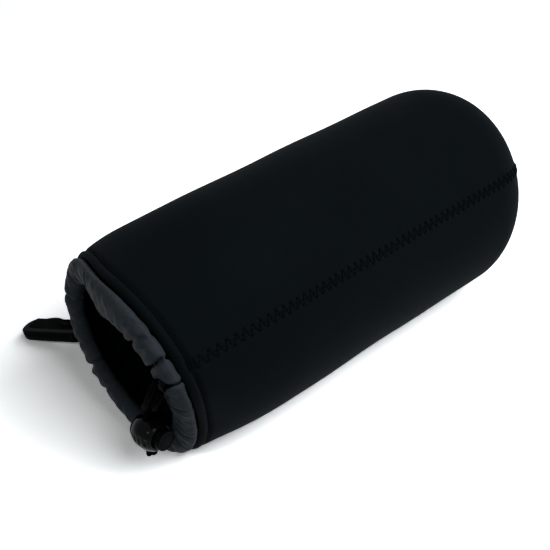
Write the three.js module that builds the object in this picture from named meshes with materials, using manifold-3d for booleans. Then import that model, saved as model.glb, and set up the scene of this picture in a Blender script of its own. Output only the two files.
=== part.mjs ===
// A padded drawstring pouch for a camera lens, lying on its side.
// Millimetres, +Z up. The origin is on the flat underside at half the tube's length,
// +X runs from the mouth to the round base, and the drawcord's side faces -Y.
import * as THREE from "three";
import { mergeVertices } from "three/addons/utils/BufferGeometryUtils.js";
import Module from "manifold-3d";

const wasm = await Module();
wasm.setup();

// Tube and base
const BODY_LENGTH = 209.3; // from the stitched groove at the mouth to the base
const BODY_WIDTH = 96.4;
const BODY_HEIGHT = 103.5;
const NEOPRENE = 5;
const REST_SAG = 0.6; // how much of the round section is pressed flat
const BASE_ROUNDING = 32.3;
const HEM_LENGTH = 4;
const HEM_ROUNDING = 0.9;
const GROOVE_DEPTH = 1.3;
const GROOVE_WIDTH = 3;

// Mouth: the tube narrows to a soft, slightly three-sided oval that leans forward at the top
const NARROWING_LENGTH = 48.3;
const MOUTH_LONG = 96.4;
const MOUTH_SHORT = 81.7;
const MOUTH_OVAL_TURN = THREE.MathUtils.degToRad(41.3);
const MOUTH_ASIDE = 2;
const MOUTH_RISE = 1;
const MOUTH_LEAN_SHARE = 0.124;
const MOUTH_SWING_SHARE = 0.001;
const MOUTH_SADDLE = 2.74;
const MOUTH_SADDLE_TURN = THREE.MathUtils.degToRad(127);
const MOUTH_CORNER_SHARE = 0.1;
const MOUTH_CORNER_TURN = THREE.MathUtils.degToRad(17);
const MOUTH_PULL_SHARE = 0.089; // how far the cord pulls the far corner in
const MOUTH_PULL_BACK = 4.4;
const MOUTH_PULL_TURN = THREE.MathUtils.degToRad(27);
const MOUTH_PULL_SHARPNESS = 4.75;

// Drawstring channel
const CHANNEL_REACH = 6.4; // how far it stands out past the hem
const CHANNEL_WIDTH = 13.2;
const CHANNEL_THICKNESS = 6.2;
const CHANNEL_INSET = 1.1;
const CHANNEL_SLIT = 2.4;
const CHANNEL_FLARE = 3.4; // how much wider it is at the top, where the cord pulls it over
const CHANNEL_FLARE_TURN = THREE.MathUtils.degToRad(82);
const CHANNEL_FLARE_SHARPNESS = 4;

// Drawcord
const CORD_DIAMETER = 2.6;
const CORD_BEND = 2.4;
const CORD_EXIT_SPACING = 5.2;
const KNOT_DIAMETER = 5.8;

// Cord lock, hanging on the drawcord at a place counted from where the cord leaves the channel
const LOCK_PLACE = [1.08, 13.1, -36.37];
const LOCK_UP = new THREE.Vector3(0.1, 0.16, 0.98);
const LOCK_BUTTON = new THREE.Vector3(0.13, -0.98, 0.08);
const LOCK_DIAMETER = 15;
const LOCK_BACK = 8.2;
const LOCK_FRONT = 6.2;
const LOCK_FRONT_RADIUS = 6;
const LOCK_WALL = 1.3;
const PLUNGER_DIAMETER = 9.2;
const PLUNGER_FIT = 0.35;
const PLUNGER_STROKE = 2.4;
const PLUNGER_PROUD = 3.4;
const PLUNGER_FLOOR = 1;
const PLUNGER_DOME = 0.6;
const GRIP_COUNT = 18; // round the whole belt, of which those at the button are left out
const GRIP_WIDTH = 1.2;
const GRIP_LENGTH = 3;
const GRIP_DEPTH = 0.7;
const GRIP_KEEP_OUT = THREE.MathUtils.degToRad(58); // to each side of the button
const SPRING_WIRE = 0.6;
const SPRING_DIAMETER = 6;

// Belt strap
const STRAP_WIDTH = 25;
const STRAP_THICKNESS = 1.8;
const STRAP_START = 54; // from the groove
const STRAP_LENGTH = 84;
const STRAP_FOOT = 14;
const STRAP_SLOPE = 7;
const STRAP_CLEAR = 8.4;
const TACK_LENGTH = 3;
const TACK_THICKNESS = 0.6;
const TACK_MARGIN = 2;

// Snap hook, its eye and its webbing tab, all in one line from the hook's nose to the tube
const HOOK_AIM = new THREE.Vector3(0.28, -0.889, 0.36);
const TAB_ALONG = 15.8; // from the groove to the tab's foot
const TAB_STANDOFF = 7.5; // from the eye's bar to the tube
const HOOK_LENGTH = 44;
const HOOK_HALF_WIDTH = 7.8;
const HOOK_THICKNESS = 5.2;
const SPINE_WIDTH = 4.4;
const NOSE_WIDTH = 3;
const NOSE_RETURN = 4.6;
const SPINE_GROOVE_WIDTH = 1.6;
const SPINE_GROOVE_DEPTH = 0.9;
const COLLAR_DIAMETER = 8.6;
const COLLAR_LENGTH = 4.4;
const POST_DIAMETER = 3.8;
const POST_HEAD_DIAMETER = 6;
const POST_HEAD_LENGTH = 1.3;
const GATE_WIDTH = 2.2;
const GATE_THICKNESS = 4.4;
const GATE_BOW = 3.1;
const GATE_STEP = 1.5;
const GATE_ROOT = 38;
const EYE_THICKNESS = 4.4;
const EYE_CROSSBAR = 3.3;
const EYE_WINDOW = 5.4;
const EYE_BAR = 3;
const EYE_SIDE = 2.3;
const TAB_WIDTH = 11.6;
const TAB_WEBBING = 1.3;
const TAB_REACH = 17; // long enough to run into the tube, which trims it

// Stitching
const SEAM_WIDTH = 4.4;
const THREAD = 0.5;

// Shared clearances
const GAP = 0.3;
const TURNING_GAP = 0.4;
const OVERRUN = 6;

// Places around the section, counted from +Y towards +Z
const SEAM_TURN = THREE.MathUtils.degToRad(151.3);
const STRAP_TURN = THREE.MathUtils.degToRad(-30);
const CORD_TURN = THREE.MathUtils.degToRad(156.5);
const TAB_TURN = THREE.MathUtils.degToRad(-31.7);
const BASE_SEAM_TURN = THREE.MathUtils.degToRad(57);
const FULL_TURN = 2 * Math.PI;
const TURN_STEPS = 64;

const HALF_WIDTH = BODY_WIDTH / 2;
const HALF_HEIGHT = BODY_HEIGHT / 2;
const AXIS_HEIGHT = HALF_HEIGHT - REST_SAG;
const MOUTH_X = -BODY_LENGTH / 2;
const BASE_ROUND_START = BODY_LENGTH - BASE_ROUNDING;

// Where the rings of the skin stand, as shares of the narrowing and of the bend to the base seam.
const narrowingShares = [0.12, 0.3, 0.55, 0.8, 1];
const bendShares = [0, 0.25, 0.5, 0.75, 1];

const colours = {
  neoprene: new THREE.MeshStandardMaterial({ color: 0x14181a, roughness: 0.95, metalness: 0 }),
  nylon: new THREE.MeshStandardMaterial({ color: 0x25282c, roughness: 0.5, metalness: 0 }),
  thread: new THREE.MeshStandardMaterial({ color: 0x0c0e10, roughness: 0.7, metalness: 0 }),
  cord: new THREE.MeshStandardMaterial({ color: 0x17181b, roughness: 0.8, metalness: 0 }),
  webbing: new THREE.MeshStandardMaterial({ color: 0x121416, roughness: 0.8, metalness: 0 }),
  plastic: new THREE.MeshStandardMaterial({ color: 0x0f1012, roughness: 0.4, metalness: 0 }),
  steel: new THREE.MeshStandardMaterial({ color: 0x9a9da0, roughness: 0.3, metalness: 1 }),
};

// The share of the mouth's shape at a distance from the groove: 1 at the mouth, 0 on the tube.
function mouthShare(along) {
  if (along <= 0) return 1;
  return Math.max(0, 1 - along / NARROWING_LENGTH) ** 2;
}

// A point of the pouch's skin, at a distance from the groove and a turn round the section,
// set in from the surface. The underside is pressed flat on what the pouch lies on.
function skinPoint(along, turn, inset) {
  const share = mouthShare(along);
  const tubeY = (HALF_WIDTH - inset) * Math.cos(turn);
  const tubeZ = (HALF_HEIGHT - inset) * Math.sin(turn);
  const long = (MOUTH_LONG / 2 - inset) * Math.cos(turn - MOUTH_OVAL_TURN);
  const short = (MOUTH_SHORT / 2 - inset) * Math.sin(turn - MOUTH_OVAL_TURN);
  const cos = Math.cos(MOUTH_OVAL_TURN);
  const sin = Math.sin(MOUTH_OVAL_TURN);
  const y = THREE.MathUtils.lerp(tubeY, long * cos - short * sin, share);
  const z = THREE.MathUtils.lerp(tubeZ, long * sin + short * cos, share);
  const pull = share * Math.exp(MOUTH_PULL_SHARPNESS * (Math.cos(turn - MOUTH_PULL_TURN) - 1));
  const corners = MOUTH_CORNER_SHARE * Math.cos(3 * (turn - MOUTH_CORNER_TURN));
  const corner = 1 + share * (corners - MOUTH_PULL_SHARE * pull);
  const saddle = MOUTH_SADDLE * Math.cos(2 * (turn - MOUTH_SADDLE_TURN)) - MOUTH_PULL_BACK * pull;
  const forward = share * (MOUTH_LEAN_SHARE * z + MOUTH_SWING_SHARE * y + saddle);
  const height = AXIS_HEIGHT + z * corner + MOUTH_RISE * share;
  return new THREE.Vector3(
    MOUTH_X + along - forward,
    y * corner + MOUTH_ASIDE * share,
    Math.max(height, Math.min(inset, NEOPRENE)),
  );
}

// A point of the rounded base: a turn from the tube's wall (0) to the flat end (a quarter), and a depth.
function basePlace(bend, depth) {
  const radius = BASE_ROUNDING - depth;
  return {
    along: BASE_ROUND_START + radius * Math.sin(bend),
    inset: BASE_ROUNDING - radius * Math.cos(bend),
  };
}

// The outward volume of a list of triangles, used to turn a shell's faces outwards.
function signedVolume(positions, index) {
  const a = new THREE.Vector3();
  const b = new THREE.Vector3();
  const c = new THREE.Vector3();
  let volume = 0;
  for (let i = 0; i < index.length; i += 3) {
    a.fromArray(positions, 3 * index[i]);
    b.fromArray(positions, 3 * index[i + 1]);
    c.fromArray(positions, 3 * index[i + 2]);
    volume += a.dot(b.cross(c));
  }
  return volume;
}

// A closed shell through rings of points. The rings close on each other, or end in flat caps:
// fans from the middle, or the given triangles of the ring where it isn't convex.
function loft(rings, closed, capFaces) {
  const size = rings[0].length;
  const positions = [];
  const index = [];
  for (const ring of rings) for (const p of ring) positions.push(p.x, p.y, p.z);
  const spans = closed ? rings.length : rings.length - 1;
  for (let i = 0; i < spans; i++) {
    const here = i * size;
    const next = ((i + 1) % rings.length) * size;
    for (let j = 0; j < size; j++) {
      const k = (j + 1) % size;
      index.push(here + j, here + k, next + k, here + j, next + k, next + j);
    }
  }
  const cap = (ring, start, flip) => {
    const faces = capFaces ? capFaces.map((face) => face.map((corner) => start + corner)) : [];
    if (!capFaces) {
      const middle = positions.length / 3;
      const centre = ring.reduce((sum, p) => sum.add(p), new THREE.Vector3()).divideScalar(size);
      positions.push(centre.x, centre.y, centre.z);
      for (let j = 0; j < size; j++) faces.push([middle, start + j, start + ((j + 1) % size)]);
    }
    for (const [a, b, c] of faces) index.push(a, flip ? c : b, flip ? b : c);
  };
  if (!closed) {
    cap(rings[0], 0, true);
    cap(rings.at(-1), (rings.length - 1) * size, false);
  }
  if (signedVolume(positions, index) < 0) {
    for (let i = 0; i < index.length; i += 3) [index[i], index[i + 1]] = [index[i + 1], index[i]];
  }
  const geometry = new THREE.BufferGeometry();
  geometry.setAttribute("position", new THREE.Float32BufferAttribute(positions, 3));
  geometry.setIndex(index);
  return geometry;
}

// Turns a closed geometry into a solid that can be joined and cut.
function solid(geometry) {
  const bare = geometry.clone();
  bare.deleteAttribute("normal");
  bare.deleteAttribute("uv");
  const merged = mergeVertices(bare);
  return new wasm.Manifold(
    new wasm.Mesh({
      numProp: 3,
      vertProperties: new Float32Array(merged.attributes.position.array),
      triVerts: new Uint32Array(merged.index.array),
    }),
  );
}

function geometryOf(shape) {
  const mesh = shape.getMesh();
  const geometry = new THREE.BufferGeometry();
  geometry.setAttribute("position", new THREE.BufferAttribute(mesh.vertProperties, 3));
  geometry.setIndex(new THREE.BufferAttribute(mesh.triVerts, 1));
  geometry.computeVertexNormals();
  return geometry;
}

function cut(body, ...tools) {
  let shape = solid(body);
  for (const tool of tools) shape = shape.subtract(solid(tool));
  return geometryOf(shape);
}

function join(...bodies) {
  let shape = solid(bodies[0]);
  for (const body of bodies.slice(1)) shape = shape.add(solid(body));
  return geometryOf(shape);
}

function piece(name, geometry, material) {
  const mesh = new THREE.Mesh(geometry, material);
  mesh.name = name;
  return mesh;
}

// A round section swept along a smooth curve through points.
function sweep(points, diameter, sides, steps) {
  const section = new THREE.Shape();
  section.absarc(0, 0, diameter / 2, 0, FULL_TURN);
  return new THREE.ExtrudeGeometry(section, {
    steps,
    curveSegments: sides,
    extrudePath: new THREE.CatmullRomCurve3(points, false, "centripetal"),
  });
}

// A flat outline given in x and y, thick in z and centred on z = 0.
function plate(outline, thickness, curveSegments = 10) {
  const geometry = new THREE.ExtrudeGeometry(outline, {
    depth: thickness,
    bevelEnabled: false,
    curveSegments,
  });
  return geometry.translate(0, 0, -thickness / 2);
}

// A block between two opposite corners, given in either order.
function block(x0, x1, y0, y1, z0, z1) {
  const geometry = new THREE.BoxGeometry(Math.abs(x1 - x0), Math.abs(y1 - y0), Math.abs(z1 - z0));
  return geometry.translate((x0 + x1) / 2, (y0 + y1) / 2, (z0 + z1) / 2);
}

// A profile of radius and height turned about the z axis.
function turned(profile, segments = 32) {
  const points = profile.map(([radius, height]) => new THREE.Vector2(radius, height));
  return new THREE.LatheGeometry(points, segments).rotateX(Math.PI / 2);
}

function turns(steps) {
  return Array.from({ length: steps }, (_, i) => (i * FULL_TURN) / steps);
}

// Rings of the skin round a closed profile of places, for a shell that goes all the way round.
function roundShell(profile, steps = TURN_STEPS) {
  return loft(
    turns(steps).map((turn) => profile.map(({ along, inset }) => skinPoint(along, turn, inset))),
    true,
  );
}

function tubePanel() {
  const groove = GROOVE_WIDTH / 2;
  const narrowing = narrowingShares.map((share) => share * NARROWING_LENGTH);
  const bends = bendShares.map((share) => share * BASE_SEAM_TURN);
  const outer = [
    { along: -HEM_LENGTH, inset: HEM_ROUNDING },
    { along: HEM_ROUNDING - HEM_LENGTH, inset: 0 },
    { along: -groove, inset: 0 },
    { along: 0, inset: GROOVE_DEPTH },
    { along: groove, inset: 0 },
    ...narrowing.map((along) => ({ along, inset: 0 })),
    ...bends.map((bend) => basePlace(bend, 0)),
  ];
  const inner = [
    ...bends.map((bend) => basePlace(bend, NEOPRENE)).reverse(),
    ...narrowing.map((along) => ({ along, inset: NEOPRENE })).reverse(),
    { along: HEM_ROUNDING - HEM_LENGTH, inset: NEOPRENE },
    { along: -HEM_LENGTH, inset: NEOPRENE - HEM_ROUNDING },
  ];
  return roundShell([...outer, ...inner]);
}

// The base is sewn to the tube edge to edge, so it starts one gap further round the bend.
function baseDisc() {
  const start = BASE_SEAM_TURN + GAP / (BASE_ROUNDING - NEOPRENE);
  const bendSteps = 5;
  const flatSteps = [0.66, 0.33];
  const bends = Array.from({ length: bendSteps }, (_, i) =>
    THREE.MathUtils.lerp(start, Math.PI / 2, i / (bendSteps - 1)),
  );
  const rim = (place) => turns(TURN_STEPS).map((turn) => skinPoint(place.along, turn, place.inset));
  // The flat middle shrinks towards the axis, inside and outside.
  const flat = (depth, share) => {
    const place = basePlace(Math.PI / 2, depth);
    return turns(TURN_STEPS).map((turn) => {
      const edge = skinPoint(place.along, turn, place.inset);
      const middle = new THREE.Vector3(edge.x, 0, AXIS_HEIGHT);
      return middle.lerp(edge, share);
    });
  };
  return loft(
    [
      ...flatSteps.map((share) => flat(NEOPRENE, share)).reverse(),
      ...bends.map((bend) => rim(basePlace(bend, NEOPRENE))).reverse(),
      ...bends.map((bend) => rim(basePlace(bend, 0))),
      ...flatSteps.map((share) => flat(0, share)),
    ],
    false,
  );
}

// A flat band of stitching that lies along the tube, just proud of its skin.
function sideSeamThread() {
  const half = SEAM_WIDTH / (BODY_HEIGHT + BODY_WIDTH) * 2;
  const places = [
    ...narrowingShares.map((share) => ({ along: share * NARROWING_LENGTH, inset: 0 })),
    ...bendShares.slice(0, -1).map((share) => basePlace(share * BASE_SEAM_TURN, 0)),
  ];
  return loft(
    places.map(({ along, inset }) => [
      skinPoint(along, SEAM_TURN - half, inset - GAP),
      skinPoint(along, SEAM_TURN + half, inset - GAP),
      skinPoint(along, SEAM_TURN + half, inset - GAP - THREAD),
      skinPoint(along, SEAM_TURN - half, inset - GAP - THREAD),
    ]),
    false,
  );
}

function baseSeamThread() {
  const half = SEAM_WIDTH / BASE_ROUNDING / 2;
  return roundShell([
    basePlace(BASE_SEAM_TURN - half, -GAP),
    basePlace(BASE_SEAM_TURN + half, -GAP),
    basePlace(BASE_SEAM_TURN + half, -GAP - THREAD),
    basePlace(BASE_SEAM_TURN - half, -GAP - THREAD),
  ]);
}

// The row of stitches that lies in the groove and holds the channel to the tube.
function hemThread() {
  const half = THREAD / 2;
  const bottom = GROOVE_DEPTH - 2 * GAP;
  return roundShell([
    { along: -half, inset: bottom },
    { along: half, inset: bottom },
    { along: half, inset: bottom - THREAD },
    { along: -half, inset: bottom - THREAD },
  ]);
}

// The channel's section, and the line of the bore that the cord runs in.
const CHANNEL_BACK = -HEM_LENGTH - GAP;
const CHANNEL_FRONT = -HEM_LENGTH - CHANNEL_REACH;
const CHANNEL_MIDDLE = CHANNEL_FRONT + CHANNEL_THICKNESS / 2;
const BORE_INSET = CHANNEL_INSET + CHANNEL_WIDTH * 0.55;
const CHANNEL_RADIUS = (MOUTH_LONG + MOUTH_SHORT) / 4 - BORE_INSET;
const SLIT_HALF_TURN = CHANNEL_SLIT / CHANNEL_RADIUS / 2;
const EXIT_HALF_TURN = CORD_EXIT_SPACING / CHANNEL_RADIUS / 2;

// The bore leaves the front face beside the slit, runs all the way round and leaves on the other side.
function drawcordPath(overrun) {
  const first = CORD_TURN + EXIT_HALF_TURN;
  const last = CORD_TURN - EXIT_HALF_TURN + FULL_TURN;
  const bend = CORD_BEND / CHANNEL_RADIUS;
  const ringSteps = 40;
  const ring = Array.from({ length: ringSteps + 1 }, (_, i) =>
    skinPoint(CHANNEL_MIDDLE, THREE.MathUtils.lerp(first + bend, last - bend, i / ringSteps), BORE_INSET),
  );
  const half = 0.5;
  const corner = (turn, sign) => [
    skinPoint(CHANNEL_FRONT - overrun, turn, BORE_INSET),
    skinPoint(CHANNEL_FRONT, turn, BORE_INSET),
    skinPoint(THREE.MathUtils.lerp(CHANNEL_FRONT, CHANNEL_MIDDLE, half), turn + sign * bend * half * half, BORE_INSET),
  ];
  return [...corner(first, 1), ...ring, ...corner(last, -1).reverse()];
}

function drawstringChannel() {
  const half = CHANNEL_THICKNESS / 2;
  const outlineShares = [
    // Shares of the channel's width inwards, and of its half thickness forwards.
    [0, -0.1], [0.06, 0.35], [0.2, 0.8], [0.4, 1], [0.65, 1], [0.88, 0.85], [0.98, 0.35],
    [1, -0.3], [0.9, -0.85], [0.7, -1], [0.45, -0.95], [0.2, -0.9], [0.05, -0.6],
  ];
  const profile = outlineShares.map(([inward, forward]) => ({
    along: Math.min(CHANNEL_MIDDLE - forward * half, CHANNEL_BACK),
    inward,
  }));
  const steps = TURN_STEPS;
  const rings = Array.from({ length: steps + 1 }, (_, i) => {
    const start = CORD_TURN + SLIT_HALF_TURN;
    const end = CORD_TURN - SLIT_HALF_TURN + FULL_TURN;
    const turn = THREE.MathUtils.lerp(start, end, i / steps);
    const flare = Math.exp(CHANNEL_FLARE_SHARPNESS * (Math.cos(turn - CHANNEL_FLARE_TURN) - 1));
    const width = CHANNEL_WIDTH + CHANNEL_FLARE * flare;
    return profile.map(({ along, inward }) => skinPoint(along, turn, CHANNEL_INSET + inward * width));
  });
  const bore = sweep(drawcordPath(OVERRUN), CORD_DIAMETER + 2 * GAP, 10, 90);
  return cut(loft(rings, false), bore);
}

function drawcordLoop() {
  return sweep(drawcordPath(0).slice(1, -1), CORD_DIAMETER, 8, 80);
}

// The free part of the two strands, from the channel's front face to the top of the lock, counted
// from where the pair leaves the channel. From there they run straight through the lock.
const UPPER_ROUTE = [
  [-2, 0.85, 1.8], [-3.3, 0.97, -0.2], [-4.7, 1.5, -3.35], [-5.17, 3.03, -7.09], [-4.85, 4.98, -11.66],
  [-3.53, 7.76, -15.56], [-1.95, 10.86, -18], [0.06, 13.37, -21.83], [0.75, 13.89, -24.8],
];
const LOWER_ROUTE = [
  [-0.9, -0.55, -3.6], [-1.95, -0.33, -5.4], [-2.86, 0.36, -7.9], [-2.9, 2.18, -11.84], [-1.09, 4.86, -15.46],
  [0.8, 8.47, -17.6], [2.38, 11.84, -20.13], [3.49, 13.67, -23.59], [3.61, 14.19, -26.11],
];

function strand(route, side) {
  const aside = (side * (CORD_DIAMETER + GAP)) / 2;
  const end = (GAP - LOCK_DIAMETER / 2) / (LOCK_DIAMETER / 2);
  const inLock = [1, 0.5, 0, -0.5, end].map((share) =>
    new THREE.Vector3(aside, (share * LOCK_DIAMETER) / 2, 0).applyMatrix4(lock.matrix),
  );
  return sweep([...route.map((place) => new THREE.Vector3(...place)), ...inLock], CORD_DIAMETER, 8, 28);
}

// The cord lock. Its own z axis is the plunger's, and the cord passes along its y axis.
const PAIR_WIDTH = 2 * CORD_DIAMETER + GAP;
const CORD_HOLE_WIDTH = PAIR_WIDTH + 2 * GAP;
const CORD_HOLE_HALF = CORD_DIAMETER / 2 + GAP;
const PLUNGER_RADIUS = PLUNGER_DIAMETER / 2;
const PLUNGER_BOTTOM = -CORD_HOLE_HALF - PLUNGER_FLOOR;
const POCKET_FLOOR = LOCK_WALL - LOCK_BACK;

function lockBarrel() {
  const radius = LOCK_DIAMETER / 2;
  const bore = PLUNGER_RADIUS + PLUNGER_FIT;
  const arcSteps = 8;
  const back = Array.from({ length: arcSteps + 1 }, (_, i) => {
    const bend = (i / arcSteps) * (Math.PI / 2);
    return [radius * Math.sin(bend), -LOCK_BACK * Math.cos(bend)];
  });
  const front = [0.35, 0.62, 0.82, 1].map((share) => [
    THREE.MathUtils.lerp(radius, LOCK_FRONT_RADIUS, share ** 3),
    share * LOCK_FRONT,
  ]);
  const body = turned(
    [...back, ...front, [bore, LOCK_FRONT], [bore, POCKET_FLOOR], [0, POCKET_FLOOR]],
    40,
  );
  const cordHole = block(
    -CORD_HOLE_WIDTH / 2, CORD_HOLE_WIDTH / 2,
    -LOCK_DIAMETER, LOCK_DIAMETER,
    -CORD_HOLE_HALF, CORD_HOLE_HALF,
  );
  const grips = turns(GRIP_COUNT)
    .filter((turn) => Math.cos(turn) > -Math.cos(GRIP_KEEP_OUT))
    .map((turn) =>
      block(
        -GRIP_WIDTH / 2, GRIP_WIDTH / 2,
        -GRIP_LENGTH / 2, GRIP_LENGTH / 2,
        GRIP_DEPTH - radius, -radius - OVERRUN,
      ).rotateY(turn),
    );
  return cut(body, cordHole, ...grips);
}

function lockPlunger() {
  const top = LOCK_FRONT + PLUNGER_PROUD;
  const body = turned([
    [0, PLUNGER_BOTTOM],
    [PLUNGER_RADIUS, PLUNGER_BOTTOM],
    [PLUNGER_RADIUS, top - PLUNGER_DOME],
    [PLUNGER_RADIUS - PLUNGER_DOME / 2, top - PLUNGER_DOME / 3],
    [PLUNGER_RADIUS / 2, top],
    [0, top],
  ]);
  const window = block(
    -CORD_HOLE_WIDTH / 2, CORD_HOLE_WIDTH / 2,
    -PLUNGER_DIAMETER, PLUNGER_DIAMETER,
    -CORD_HOLE_HALF, CORD_HOLE_HALF + PLUNGER_STROKE,
  );
  return cut(body, window);
}

function lockSpring() {
  const outer = SPRING_DIAMETER / 2;
  const inner = outer - 2 * SPRING_WIRE;
  const top = PLUNGER_BOTTOM - GAP;
  const bottom = POCKET_FLOOR + GAP;
  return turned([[inner, bottom], [outer, bottom], [outer, top], [inner, top], [inner, bottom]], 20);
}

function knot() {
  const radius = KNOT_DIAMETER / 2;
  const centre = -LOCK_DIAMETER / 2 - GAP - radius;
  return new THREE.SphereGeometry(radius, 12, 8).translate(0, centre, 0);
}

// The belt strap is webbing whose feet follow the tube and whose middle stands off it, flat.
// A place on it is a distance along, a rise (0 at a foot, 1 at the middle) and a height over the rise.
const strapOut = new THREE.Vector3(
  0, Math.cos(STRAP_TURN) / HALF_WIDTH, Math.sin(STRAP_TURN) / HALF_HEIGHT,
).normalize();
const strapAcross = new THREE.Vector3(1, 0, 0).cross(strapOut);

function strapBand(places, width) {
  const side = places.map(([along, rise, height]) => new THREE.Vector2(along, rise * STRAP_CLEAR + height));
  const rings = [-1, -0.67, -0.33, 0, 0.33, 0.67, 1].map((share) => {
    const aside = (share * width) / 2;
    return places.map(([along, rise, height]) => {
      const turn = STRAP_TURN + aside / HALF_HEIGHT;
      const curved = skinPoint(STRAP_START + along, turn, 0);
      const flat = skinPoint(STRAP_START + along, STRAP_TURN, 0).addScaledVector(strapAcross, aside);
      return curved.lerp(flat, rise).addScaledVector(strapOut, rise * STRAP_CLEAR + height + GAP);
    });
  });
  return loft(rings, false, THREE.ShapeUtils.triangulateShape(side, []));
}

function beltStrap() {
  const climb = STRAP_FOOT + STRAP_SLOPE;
  const bend = STRAP_THICKNESS / 2;
  return strapBand(
    [
      [0, 0, 0], [STRAP_FOOT, 0, 0], [climb, 1, 0],
      [STRAP_LENGTH - climb, 1, 0], [STRAP_LENGTH - STRAP_FOOT, 0, 0], [STRAP_LENGTH, 0, 0],
      [STRAP_LENGTH, 0, STRAP_THICKNESS], [STRAP_LENGTH - STRAP_FOOT + bend, 0, STRAP_THICKNESS],
      [STRAP_LENGTH - climb + bend, 1, STRAP_THICKNESS], [climb - bend, 1, STRAP_THICKNESS],
      [STRAP_FOOT - bend, 0, STRAP_THICKNESS], [0, 0, STRAP_THICKNESS],
    ],
    STRAP_WIDTH,
  );
}

function strapTack(start) {
  const low = STRAP_THICKNESS + GAP;
  const high = low + TACK_THICKNESS;
  const end = start + TACK_LENGTH;
  return strapBand([[start, 0, low], [end, 0, low], [end, 0, high], [start, 0, high]], STRAP_WIDTH - 2 * TACK_MARGIN);
}

// Snap hook: x runs from its nose towards the tube, y across it and z through its thickness.
const EYE_START = HOOK_LENGTH + COLLAR_LENGTH / 4 + TURNING_GAP;
const EYE_WINDOW_START = EYE_START + EYE_CROSSBAR;
const EYE_BAR_START = EYE_WINDOW_START + EYE_WINDOW;
const EYE_END = EYE_BAR_START + EYE_BAR;
const EYE_PIVOT = EYE_BAR_START + EYE_BAR / 2;
const COLLAR_END = EYE_START - TURNING_GAP;
const GATE_INNER = HOOK_HALF_WIDTH - GATE_BOW - GATE_WIDTH;

function hookBody() {
  const edge = HOOK_HALF_WIDTH;
  const inside = SPINE_WIDTH - edge;
  const outline = new THREE.Shape();
  outline.moveTo(HOOK_LENGTH, inside);
  outline.lineTo(HOOK_LENGTH, -edge / 2);
  outline.quadraticCurveTo(HOOK_LENGTH - NOSE_WIDTH, -edge, HOOK_LENGTH - COLLAR_DIAMETER, -edge);
  outline.lineTo(edge, -edge);
  outline.quadraticCurveTo(0, -edge, 0, -NOSE_WIDTH / 2);
  outline.quadraticCurveTo(0, GATE_INNER, NOSE_RETURN, GATE_INNER + GATE_WIDTH);
  outline.lineTo(NOSE_RETURN, GATE_INNER);
  outline.quadraticCurveTo(NOSE_WIDTH, inside, NOSE_WIDTH + NOSE_RETURN, inside);
  outline.lineTo(GATE_ROOT - GATE_WIDTH, inside);
  outline.quadraticCurveTo(GATE_ROOT, inside, GATE_ROOT, -GATE_WIDTH / 2);
  outline.lineTo(GATE_ROOT, GATE_INNER + GATE_WIDTH);
  outline.lineTo(HOOK_LENGTH - COLLAR_LENGTH / 2, GATE_INNER + GATE_WIDTH);
  outline.lineTo(HOOK_LENGTH, GATE_INNER);
  outline.lineTo(HOOK_LENGTH, inside);
  const body = plate(outline, HOOK_THICKNESS, 8);
  const collar = turned([
    [0, HOOK_LENGTH - COLLAR_LENGTH],
    [COLLAR_DIAMETER / 2, HOOK_LENGTH - COLLAR_LENGTH],
    [COLLAR_DIAMETER / 2, COLLAR_END],
    [POST_DIAMETER / 2, COLLAR_END],
    [POST_DIAMETER / 2, EYE_WINDOW_START + TURNING_GAP],
    [POST_HEAD_DIAMETER / 2, EYE_WINDOW_START + TURNING_GAP],
    [POST_HEAD_DIAMETER / 2 - POST_HEAD_LENGTH / 2, EYE_WINDOW_START + TURNING_GAP + POST_HEAD_LENGTH],
    [0, EYE_WINDOW_START + TURNING_GAP + POST_HEAD_LENGTH],
  ], 24).rotateY(Math.PI / 2);
  const grooveStart = NOSE_WIDTH + NOSE_RETURN;
  const grooveSide = -edge + (SPINE_WIDTH - SPINE_GROOVE_WIDTH) / 2;
  const groove = (side) =>
    block(
      grooveStart, GATE_ROOT - GATE_WIDTH,
      grooveSide, grooveSide + SPINE_GROOVE_WIDTH,
      side * (HOOK_THICKNESS / 2 - SPINE_GROOVE_DEPTH), side * (HOOK_THICKNESS / 2 + OVERRUN),
    );
  return cut(join(body, collar), groove(1), groove(-1));
}

// The gate bows outwards from the nose, drops at its thumb step and runs straight to its root.
function hookGate() {
  const free = NOSE_RETURN + TURNING_GAP;
  const root = GATE_ROOT - TURNING_GAP;
  const low = GATE_INNER;
  const step = free + (root - free) * 0.46;
  const high = low + GATE_BOW;
  const stepTop = low + GATE_STEP;
  const outline = new THREE.Shape();
  outline.moveTo(free, low);
  outline.quadraticCurveTo((free + step) / 2, 2 * high - (low + stepTop) / 2, step, stepTop + GATE_WIDTH / 2);
  outline.lineTo(step, low + GATE_WIDTH);
  outline.lineTo(root, low + GATE_WIDTH);
  outline.lineTo(root, low);
  outline.lineTo(step - GATE_WIDTH, low);
  outline.quadraticCurveTo((free + step) / 2, high, free + GATE_WIDTH / 2, low);
  return plate(outline, GATE_THICKNESS, 10);
}

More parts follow.
